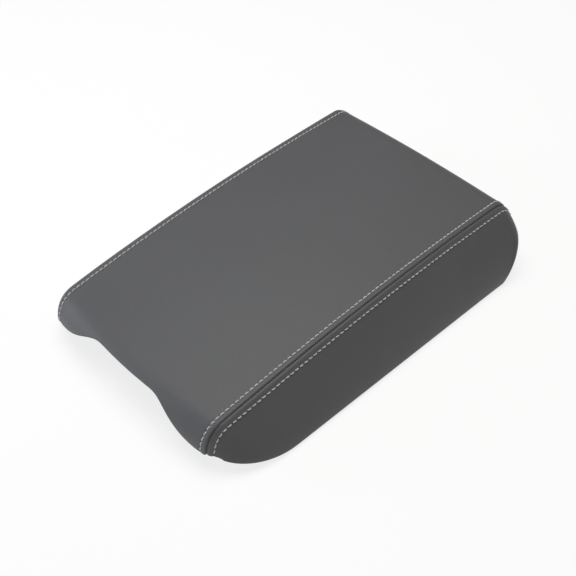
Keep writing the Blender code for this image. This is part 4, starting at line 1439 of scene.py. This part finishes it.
@dataclass
class InnerLiner:
    """Moulded liner with a rounded rim, a recessed field and cut-outs for hinge and latch."""

    form: LidForm
    plastic: Finish
    top: float = 0.0142
    underside: float = 0.012
    stations: int = 60
    smoothing: int = 9
    rim_bottom: float = 0.004
    rim_wall: float = 0.002
    fit: Depth = Depth(0.0147, 0.0094)
    corner: float = 0.010
    cut_corner: float = 0.003
    latch_half: float = 0.0425
    latch_front: float = 0.06
    latch_rear: float = 0.0261
    hinge_half: float = 0.055
    hinge_reach: float = 0.038
    hinge_rear: float = 0.05
    field_depth: float = 0.0006
    field_half: float = 0.060
    field_front: float = 0.036
    field_rear: float = 0.048
    field_corner: float = 0.006
    drillings: tuple[tuple[str, float], ...] = (("liner_screw", 0.0018), ("bumper", 0.0027))

    def half_widths(self, ys: np.ndarray) -> np.ndarray:
        """Half width of the liner, just clear of the shell.

        Args:
            ys: Where it is wanted.

        Returns:
            The half width at each y.
        """
        curves = self.form.placed(self.form.side_curves(self.fit))
        wall = []
        for row in range(curves.shape[1]):
            curve = curves[::-1, row]
            if curve[0, 2] < self.top < curve[-1, 2]:
                wall.append([np.interp(self.top, curve[:, 2], curve[:, k]) for k in (1, 0)])
        wall = np.array(sorted(wall))
        return np.interp(ys, wall[:, 0], wall[:, 1])

    def outline(self) -> np.ndarray:
        """The liner's plan with round corners.

        Returns:
            X and Y of each corner, counter-clockwise from the front right.
        """
        low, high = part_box("inner_liner")
        ys = np.linspace(low.y, high.y, self.stations)
        padded = np.pad(self.half_widths(ys), self.smoothing // 2, mode="edge")
        widths = np.convolve(padded, np.ones(self.smoothing) / self.smoothing, "valid")
        for end, sign in ((low.y, 1), (high.y, -1)):
            near = np.clip((self.corner - sign * (ys - end)) / self.corner, 0.0, 1.0)
            widths = widths - self.corner * (1 - np.sqrt(1 - near ** 2))
        right = np.column_stack([widths, ys])
        left = np.column_stack([-widths[::-1], ys[::-1]])
        return np.concatenate([right, left])

    def section(self) -> list[tuple[float, float]]:
        """The rim's section.

        Returns:
            Inset from the outline and height of each step, from the top edge inwards.
        """
        wall, rim, under = self.rim_wall, self.rim_bottom, self.underside
        outside = [(0.0006, self.top), (0.0, self.top - 0.0006)]
        lip = [(0.0, rim + 0.0008), (0.0003, rim + 0.0003), (0.0009, rim),
               (wall - 0.0005, rim + 0.0001), (wall, rim + 0.0006)]
        inside = [(wall + 0.0003, under - 0.0012), (wall + 0.0007, under - 0.0004),
                  (wall + 0.0016, under)]
        return outside + lip + inside

    def build(self) -> None:
        """Make the liner."""
        outline = self.outline()
        ahead = np.roll(outline, -1, axis=0) - np.roll(outline, 1, axis=0)
        out = unit(np.stack([ahead[:, 1], -ahead[:, 0]], axis=1))
        loops = [np.column_stack([outline - out * inset, np.full(len(outline), z)])
                 for inset, z in self.section()]
        points, faces = Workshop.rings(np.array(loops))
        liner = Workshop.link("liner_moulding", Workshop.mesh("liner_moulding", points, faces))
        hinge_y, latch_y = middle_of("hinge_pin")[1], middle_of("latch_pin")[1]
        box = Workshop.rounded_box
        latch_gap = box(self.latch_half, latch_y - self.latch_front, latch_y + self.latch_rear,
                        self.cut_corner)
        hinge_gap = box(self.hinge_half, hinge_y - self.hinge_reach, hinge_y + self.hinge_rear,
                        self.cut_corner)
        sunk_field = box(self.field_half, latch_y + self.field_front, hinge_y - self.field_rear,
                         self.field_corner)
        cuts = [Workshop.prism("cut", area, low, high, Axis.Z) for area, low, high in (
            (latch_gap, -0.01, 0.03), (hinge_gap, -0.01, 0.03),
            (sunk_field, 0.009, self.underside + self.field_depth))]
        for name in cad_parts:
            for word, radius in self.drillings:
                if name.startswith(word):
                    x, y, _ = middle_of(name)
                    cuts.append(Workshop.turned("cut", [(radius, 0.008), (radius, 0.02)],
                                                (x, y, 0.0), segments=24))
        for cut in cuts:
            Workshop.combine(liner, cut)
        complete(liner, Body.LID, self.plastic, "inner_liner", 0.0003)


@dataclass
class Bumpers:
    """Four rubber bumpers that the lid rests on."""

    rubber: Finish
    profile: Pairs = (
        (0.0030, 0.0), (0.0042, 0.0001), (0.0048, 0.0006), (0.0052, 0.0020), (0.0060, 0.0050),
        (0.0064, 0.0064), (0.0065, 0.0072), (0.0065, 0.0086), (0.0061, 0.0090), (0.0061, 0.0095),
        (0.0065, 0.0099), (0.0065, 0.0113), (0.0062, 0.0117), (0.0024, 0.0117), (0.0024, 0.0145),
        (0.0034, 0.0145), (0.0036, 0.0148), (0.0034, 0.0156), (0.0026, 0.0176), (0.0020, 0.0180))

    def build(self) -> None:
        """Make one bumper at each solid's place."""
        for node in solids("bumper_"):
            x, y, _ = middle_of(node)
            made = Workshop.turned(node + "_rubber", self.profile, (x, y, 0.0), segments=56)
            Workshop.shade(made, SOFT_ANGLE)
            dress(made, Body.LID, self.rubber, [node])


@dataclass
class Screws:
    """Cross-recessed pan-head screws with a rolled thread."""

    steel: Finish
    head: Pairs = (
        (0.0014, 0.00002), (0.0022, 0.00008), (0.0028, 0.00035), (0.0032, 0.0008),
        (0.0034, 0.0014), (0.0034, 0.0019), (0.0032, 0.0021), (0.0015, 0.0021))
    shank: float = 0.00150
    neck: float = 0.0006
    point: float = 0.0018
    point_radius: float = 0.0002
    thread_pitch: float = 0.0011
    thread_depth: float = 0.00028
    thread_ramps: tuple[float, float, float] = (0.45, 0.72, 0.98)
    thread_clear: float = 0.0022
    recess: float = 0.0018
    recess_arm: float = 0.00042
    recess_depth: float = 0.0012
    segments: int = 28

    def build(self) -> None:
        """Make one screw at each solid's place."""
        for node in solids("_screw_"):
            low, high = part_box(node)
            x, y, _ = middle_of(node)
            self.screw(node, (x, y, 0.0), low.z, high.z)

    def screw(self, node: str, centre: Point, bottom: float, tip: float) -> None:
        """Make one screw.

        Args:
            node: The solid that it stands for.
            centre: A point on its axis.
            bottom: Height of the head's face.
            tip: Height of its point.
        """
        profile = [(radius, bottom + rise) for radius, rise in self.head]
        root = self.shank - self.thread_depth
        climb, crest, fall = (share * self.thread_pitch for share in self.thread_ramps)
        z = profile[-1][1] + self.neck
        while z < tip - self.thread_clear:
            profile += [(root, z), (root, z + climb), (self.shank, z + crest), (root, z + fall)]
            z += self.thread_pitch
        profile += [(root, tip - self.point), (self.point_radius, tip)]
        made = Workshop.turned(f"{node}_steel", profile, centre, segments=self.segments)
        x, y, _ = centre
        for arm_x, arm_y in ((self.recess, self.recess_arm), (self.recess_arm, self.recess)):
            outline = [(x + sx * arm_x, y + sy * arm_y)
                       for sx, sy in ((1, 1), (-1, 1), (-1, -1), (1, -1))]
            Workshop.combine(made, Workshop.prism("cut", outline, bottom - 0.001,
                                                  bottom + self.recess_depth, Axis.Z))
        complete(made, Body.LID, self.steel, node)


# ---------------------------------------------------------------- hinge and latch


@dataclass
class Mechanism:
    """What the hinge and the latch share: an axis along X, pins, clips, brackets and springs."""

    name: str
    pin_radius: float
    half_width: float
    axis_z: float
    plated: Finish
    wire: float = 0.0008
    spring_gap: float = 0.0006
    spring_turns: float = 5.5
    clearance: float = 0.0003
    far: float = 0.03
    pin_head: float = 0.0012
    pin_dome: Pairs = (
        (0.45, 0.0), (0.8, 0.00015), (0.97, 0.0005), (1.0, 0.0009))
    pin_end: float = 0.0007
    pin_chamfer: float = 0.0005
    blunt: float = 0.0001
    around: int = 40

    @property
    def coil_radius(self) -> float:
        """Radius of the spring's centre line."""
        return self.pin_radius + self.spring_gap + self.wire

    @property
    def axis_y(self) -> float:
        """Y of the pin's axis."""
        return middle_of(f"{self.name}_pin")[1]

    def arc(self, radius: float, start: float, end: float,
            count: int = 28) -> list[tuple[float, float]]:
        """Y-Z points of an arc about the pin."""
        return [(self.axis_y + radius * math.cos(t), self.axis_z + radius * math.sin(t))
                for t in np.radians(np.linspace(start, end, count))]

    def bracket(self, name: str, outline: Pairs, half: float,
                wall: float, hollow: Pairs) -> Piece:
        """A full-width prism, hollowed between its end walls and bored for the pin.

        Args:
            name: The piece's name.
            outline: Y-Z outline of the prism.
            half: Half width.
            wall: Thickness of the end walls.
            hollow: Y-Z outline of what is cut away between them.

        Returns:
            The piece.
        """
        made = Workshop.prism(name, outline, -half, half)
        Workshop.combine(made, Workshop.prism("cut", hollow, -half + wall, half - wall))
        self.bore(made)
        return made

    def bore(self, made: Piece) -> None:
        """Bore a piece for the pin.

        Args:
            made: The piece.
        """
        radius, reach = self.pin_radius + self.clearance, 2 * self.half_width
        Workshop.combine(made, Workshop.turned("cut", [(radius, -reach), (radius, reach)],
                                               (0.0, self.axis_y, self.axis_z), Axis.X,
                                               self.around))

    def holes(self, made: Piece, spots: Pairs,
              radius: float, z0: float, z1: float) -> None:
        """Drill round holes upwards.

        Args:
            made: The piece.
            spots: X and Y of each hole.
            radius: Radius of the holes.
            z0: Where they start.
            z1: Where they end.
        """
        for x, y in spots:
            Workshop.combine(made, Workshop.turned("cut", [(radius, z0), (radius, z1)],
                                                   (x, y, 0.0), segments=28))

    def pin(self) -> None:
        """Make the pin with its domed head, and the push-on clip."""
        low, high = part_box(f"{self.name}_pin")
        head = (high.z - low.z) / 2
        shoulder = low.x + self.pin_head
        profile = [(head * share, low.x + rise) for share, rise in self.pin_dome]
        profile += [(head, shoulder - self.blunt), (head - self.blunt, shoulder),
                    (self.pin_radius, shoulder), (self.pin_radius, high.x - self.pin_end),
                    (self.pin_radius - self.pin_chamfer, high.x)]
        centre = (0.0, self.axis_y, self.axis_z)
        made = Workshop.turned(f"{self.name}_pin_steel", profile, centre, Axis.X, self.around)
        complete(made, Body.LID, self.plated, f"{self.name}_pin")
        low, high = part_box(f"{self.name}_pin_clip")
        outer = (high.z - low.z) / 2
        ring = [(outer - self.blunt, low.x), (outer, low.x + self.blunt),
                (outer, low.x + 0.0005), (outer * 0.86, high.x - 0.0002),
                (outer * 0.8, high.x)]
        clip = Workshop.turned(f"{self.name}_pin_clip_steel", ring, centre, Axis.X, self.around)
        self.bore(clip)
        for turn in np.radians((90, 210, 330)):
            arm = [(self.axis_y + radius * math.cos(turn + side),
                    self.axis_z + radius * math.sin(turn + side))
                   for radius, side in ((self.pin_radius * 0.6, -0.25), (outer * 0.84, -0.12),
                                        (outer * 0.84, 0.12), (self.pin_radius * 0.6, 0.25))]
            Workshop.combine(clip, Workshop.prism("cut", arm, low.x - 0.001, high.x + 0.001))
        complete(clip, Body.LID, self.plated, f"{self.name}_pin_clip")

    def spring(self, start: float, end: float,
               legs: tuple[tuple[float, float], tuple[float, float]], body: Body) -> None:
        """Wind the torsion spring, which pushes two bodies apart, with a leg at each end.

        Args:
            start: X where the coil begins.
            end: X where it ends.
            legs: Y-Z ends of the first and the last leg.
            body: The body that the last leg lies on. It is not used.
        """
        steps_per_turn, leg_steps = 28, 10
        part = np.linspace(0.0, 1.0, int(self.spring_turns * steps_per_turn) + 1)
        turn = math.pi / 2 + 2 * math.pi * self.spring_turns * part
        coil = np.stack([start + (end - start) * part,
                         self.axis_y + self.coil_radius * np.cos(turn),
                         self.axis_z + self.coil_radius * np.sin(turn)], axis=1)
        first = np.array([start, *legs[0]])
        last = np.array([end, *legs[1]])
        lead = np.linspace(first, coil[0], leg_steps)[:-1]
        tail = np.linspace(coil[-1], last, leg_steps)[1:]
        path = np.concatenate([lead, coil, tail])
        up = np.zeros_like(path)
        up[:, 0] = 1.0
        points, faces, _ = Workshop.tube(path, self.wire, 12, up)
        name = f"{self.name}_spring_wire"
        made = Workshop.link(name, Workshop.mesh(name, points, faces))
        Workshop.shade(made, SOFT_ANGLE)
        made.data.materials.append(self.plated)
        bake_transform(made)
        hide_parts(f"{self.name}_spring")
        LOG.info("%s: %d faces", name, len(made.data.polygons))


@dataclass
class RearHinge(Mechanism):
    """The rear hinge: upper leaf on the shell, base on the console, pin, clip and spring."""

    steel: Union[Finish, None] = None
    sheet: float = 0.002
    eye: float = 0.0052
    length: float = 0.034
    set_back: float = 0.012
    plate_bottom: float = 0.0140
    edge: float = 0.0004
    screws: tuple[float, ...] = (-0.038, -0.014, 0.014, 0.038)
    screw_hole: float = 0.0018
    lightening: tuple[float, ...] = (-0.026, 0.0, 0.026)
    lightening_hole: float = 0.0030
    base_holes: tuple[float, ...] = (-0.028, 0.028)
    base_hole: float = 0.0027
    countersink: Pairs = ((0.0027, 0.0011), (0.0048, 0.0032))
    coil_half_length: float = 0.0052
    leg: float = 0.024

    def build(self) -> None:
        """Make every piece of the hinge."""
        y = self.axis_y
        y0, y1 = y - self.length, y - self.set_back
        bottom = self.plate_bottom
        top = bottom + self.sheet
        far = self.far
        outline = [(y0, bottom - self.sheet), (y - self.eye, self.axis_z)]
        outline += self.arc(self.eye, 195, 420) + [(y1, top), (y0, top)]
        hollow = [(y0 - far, bottom - far), (y + far, bottom - far), (y + far, top + far),
                  (y1, top + far), (y1, bottom), (y0 - far, bottom)]
        leaf = self.bracket("hinge_leaf_steel", outline, self.half_width, self.sheet, hollow)
        screw_y = (y0 + y1) / 2
        for row, radius in ((self.screws, self.screw_hole),
                            (self.lightening, self.lightening_hole)):
            self.holes(leaf, [(x, screw_y) for x in row], radius, bottom - 0.01, top + 0.01)
        complete(leaf, Body.LID, self.steel, "hinge_upper_leaf", self.edge)

        half = self.half_width - self.sheet - self.clearance
        rear = y - self.pin_radius
        outline = [(y0, 0.0), (rear, 0.0)] + self.arc(self.eye, -80, 170)
        outline += [(y0, 2 * self.sheet)]
        hollow = [(y0 - far, self.sheet), (y + far, self.sheet), (y + far, far), (y0 - far, far)]
        base = self.bracket("hinge_base_steel", outline, half, self.sheet, hollow)
        spots = [(x, (y0 + rear) / 2) for x in self.base_holes]
        self.holes(base, spots, self.base_hole, -0.01, 0.01)
        for x, spot_y in spots:
            ring = Workshop.turned("cut", self.countersink, (x, spot_y, 0.0), segments=32)
            Workshop.combine(base, ring)
        complete(base, Body.BASE, self.steel, "hinge_base", self.edge)
        self.pin()
        legs = ((y - self.leg, self.axis_z + self.coil_radius),
                (y - self.leg, self.sheet + self.clearance + self.wire))
        self.spring(-self.coil_half_length, self.coil_half_length, legs, Body.BASE)


@dataclass
class FrontLatch(Mechanism):
    """The front latch: housing, finger paddle with its hook, pin, clip and spring."""

    plastic: Union[Finish, None] = None
    wire: float = 0.00045
    cheek: float = 0.0025
    roof: float = 0.0215
    roof_front: float = 0.014
    roof_rear: float = 0.022
    reach: float = 0.026
    plate: float = 0.0025
    lug: float = 0.0042
    lug_width: float = 0.007
    side_gap: float = 0.0006
    ribs: tuple[float, ...] = (-0.030, -0.018, 0.0, 0.018, 0.030)
    rib_half: float = 0.0006
    screws: tuple[float, ...] = (-0.026, 0.026)
    screw_hole: float = 0.0018
    screw_set_in: float = 0.0037
    grooves: int = 4
    groove_pitch: float = 0.0022
    first_groove: float = 0.0062
    groove_margin: float = 0.006

    def build(self) -> None:
        """Make every piece of the latch."""
        self.housing()
        self.paddle()
        self.pin()
        y = self.axis_y
        low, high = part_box("latch_spring")
        legs = ((y + 0.010, self.roof - self.wire - self.clearance),
                (y - 0.013, self.axis_z - self.coil_radius))
        self.spring(low.x + self.wire, high.x - self.wire, legs, Body.LATCH)

    def housing(self) -> None:
        """Make the housing, with ribs under its roof."""
        y = self.axis_y
        y0, y1 = y - self.roof_front, y + self.roof_rear
        top = self.roof + self.cheek
        outline = [(y + 0.010, self.axis_z), (y1, self.roof), (y1, top), (y0, top),
                   (y0, self.roof), (y - 0.010, self.axis_z), (y - 0.005, 0.005),
                   (y + 0.005, 0.005)]
        far = self.far
        hollow = [(y0 - far, -far), (y1 + far, -far), (y1 + far, self.roof),
                  (y0 - far, self.roof)]
        made = self.bracket("latch_housing_moulding", outline, self.half_width, self.cheek, hollow)
        for x in self.ribs:
            rib = [(y0 + 0.001, top - 0.0008), (y0 + 0.001, self.roof - 0.0012),
                   (y0 + 0.010, self.roof - 0.0012), (y0 + 0.012, top - 0.0008)]
            Workshop.combine(made, Workshop.prism("rib", rib, x - self.rib_half,
                                                  x + self.rib_half), Joining.JOIN)
        spots = [(x, y1 - self.screw_set_in) for x in self.screws]
        self.holes(made, spots, self.screw_hole, self.roof - 0.003, top + 0.003)
        complete(made, Body.LID, self.plastic, "latch_housing", 0.0003)

    def paddle(self) -> None:
        """Make the paddle: a finger plate with grip ridges, two lugs and the hook."""
        y, z = self.axis_y, self.axis_z
        half = self.half_width - self.cheek - self.clearance
        top = z - self.coil_radius - self.wire - self.clearance
        bottom = top - self.plate
        y0, y1 = y - self.reach, y + 0.005
        plate = [(y0 + 0.0006, bottom - 0.0035), (y0 + 0.0019, bottom - 0.0035),
                 (y0 + self.plate, bottom - 0.0026), (y0 + self.plate + 0.0015, bottom),
                 (y1, bottom), (y1, top), (y0 + self.plate, top), (y0 + 0.0008, top - 0.0006),
                 (y0, top - 0.0016), (y0, bottom - 0.0028)]
        made = Workshop.prism("latch_paddle_moulding", plate, -half, half)
        eye = self.arc(self.lug, -10, 190, 24)
        rear, middle = y1 - 0.0006, top - self.plate / 2
        lug = eye + [(y - 0.0055, middle), (rear, middle)]
        hook = eye + [(y - 0.0055, middle), (y - self.lug, 0.0025),
                      (y + 0.0080 - self.plate, 0.0025), (y + 0.0074, 0.0040),
                      (y + 0.0080, 0.0050), (rear, 0.0050)]
        outer, wide = half - self.side_gap, self.lug_width
        for outline, x0, x1 in ((lug, -outer, -outer + wide), (lug, outer - wide, outer),
                                (hook, -wide, wide)):
            Workshop.combine(made, Workshop.prism("lug", outline, x0, x1), Joining.JOIN)
        side = half - self.groove_margin
        for k in range(self.grooves):
            at = y0 + self.first_groove + k * self.groove_pitch
            groove = [(at - 0.0004, bottom - 0.001), (at + 0.0004, bottom - 0.001),
                      (at + 0.0003, bottom + 0.0003), (at - 0.0003, bottom + 0.0003)]
            Workshop.combine(made, Workshop.prism("cut", groove, -side, side))
        self.bore(made)
        complete(made, Body.LATCH, self.plastic, "latch_paddle", 0.00025)


# ---------------------------------------------------------------- studio


@dataclass(frozen=True)
class SoftBox:
    """One rectangular studio light, with its colour as red, green and blue."""

    name: str
    spot: Point
    size: tuple[float, float]
    watts: float
    colour: Point


@dataclass
class Studio:
    """Pale floor, soft lights and the camera."""

    centre: Point = (0.0, -0.002, 0.025)
    world_strength: float = 0.10
    floor_tone: float = 0.20
    floor_glow: float = 0.79
    sweep: Pairs = (
        (0.5, -0.05), (12.0, -0.05), (12.0, 1.0), (11.0, 1.0), (10.7, 0.5), (10.0, 0.16),
        (9.0, 0.03), (8.0, -0.0005), (0.5, -0.0005))
    boxes: tuple[SoftBox, ...] = (
        SoftBox("key_from_above", (-0.14, 0.06, 1.30), (1.0, 1.0), 16.0, (1.0, 0.985, 0.965)),
        SoftBox("fill_from_front_left", (-1.05, -0.95, 0.45), (1.2, 0.8), 9.0,
                (0.91, 0.98, 1.11)),
    )
    azimuth: float = 45.948
    elevation: float = 45.81
    roll: float = 0.191
    lens: float = 59.954
    target: Point = (0.006043, -0.004470, 0.008347)
    distance: float = 0.730534
    sensor: float = 36.0
    clip: tuple[float, float] = (0.01, 50.0)

    def floor(self) -> None:
        """Lay the pale floor, which curves up far behind the lid."""
        made = Workshop.turned("floor", self.sweep, (0.0, 0.0, 0.0), segments=96)
        bench = ShaderBench("pale_floor")
        colour = bench.mix(bench.noise(bench.place(), 3.0), grey(self.floor_tone * 0.99),
                           grey(self.floor_tone))
        made.data.materials.append(bench.finish(Base_Color=colour, Roughness=0.9,
                                                Specular_IOR_Level=0.1, Emission_Color=grey(1.0),
                                                Emission_Strength=self.floor_glow))

    def light(self) -> None:
        """Hang the lights and set the surrounding white."""
        world = bpy.data.worlds.new("white_room")
        world.use_nodes = True
        back = world.node_tree.nodes["Background"]
        back.inputs["Color"].default_value = (1.0, 1.0, 1.0, 1.0)
        back.inputs["Strength"].default_value = self.world_strength
        bpy.context.scene.world = world
        for box in self.boxes:
            lamp = bpy.data.lights.new(box.name, "AREA")
            lamp.shape = "RECTANGLE"
            lamp.size, lamp.size_y = box.size
            lamp.energy = box.watts
            lamp.color = box.colour
            made = bpy.data.objects.new(box.name, lamp)
            made.location = box.spot
            aim = Vector(self.centre) - Vector(box.spot)
            made.rotation_mode = "QUATERNION"
            made.rotation_quaternion = aim.to_track_quat("-Z", "Y")
            bpy.context.scene.collection.objects.link(made)

    def camera(self) -> None:
        """Set the camera at the photograph's angle."""
        a, e = math.radians(self.azimuth), math.radians(self.elevation)
        back = Vector((math.sin(a) * math.cos(e), -math.cos(a) * math.cos(e), math.sin(e)))
        lens = bpy.data.cameras.new("photo_camera")
        lens.lens = self.lens
        lens.sensor_width = self.sensor
        lens.clip_start, lens.clip_end = self.clip
        made = bpy.data.objects.new("photo_camera", lens)
        made.location = Vector(self.target) + back * self.distance
        made.rotation_mode = "QUATERNION"
        aim = (-back).to_track_quat("-Z", "Y")
        made.rotation_quaternion = aim @ Quaternion((0.0, 0.0, 1.0), math.radians(self.roll))
        bpy.context.scene.collection.objects.link(made)
        bpy.context.scene.camera = made

    def build(self) -> None:
        """Set up floor, lights and camera."""
        self.floor()
        self.light()
        self.camera()
        view = bpy.context.scene.view_settings
        view.view_transform = "Standard"
        view.look = "None"


def main() -> None:
    """Build the dressed lid and its studio."""
    logging.basicConfig(level=logging.INFO, format="%(name)s: %(message)s")
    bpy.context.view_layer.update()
    form = LidForm()
    plated = PlatedFinish().make()
    latch_plastic = MouldedFinish("latch_plastic", tone=0.024, roughness=0.36,
                                  grain_per_metre=1500.0, grain_depth=0.00002).make()
    LeatherCover(form, LeatherFinish().make(), ThreadFinish().make()).build()
    FoamPad(form, FoamFinish().make()).build()
    MouldedShell(MouldedFinish("shell_plastic", tone=0.020, roughness=0.50,
                               grain_per_metre=900.0, grain_depth=0.00004).make()).build()
    InnerLiner(form, MouldedFinish("liner_plastic", tone=0.030, roughness=0.52,
                                   grain_per_metre=1100.0, grain_depth=0.00008).make()).build()
    Bumpers(RubberFinish().make()).build()
    Screws(plated).build()
    RearHinge("hinge", pin_radius=0.0025, half_width=0.051, axis_z=0.009, plated=plated,
              steel=CoatedSteelFinish().make()).build()
    FrontLatch("latch", pin_radius=0.002, half_width=0.0385, axis_z=0.013, plated=plated,
               plastic=latch_plastic).build()
    Studio().build()


if __name__ == "__main__":
    main()
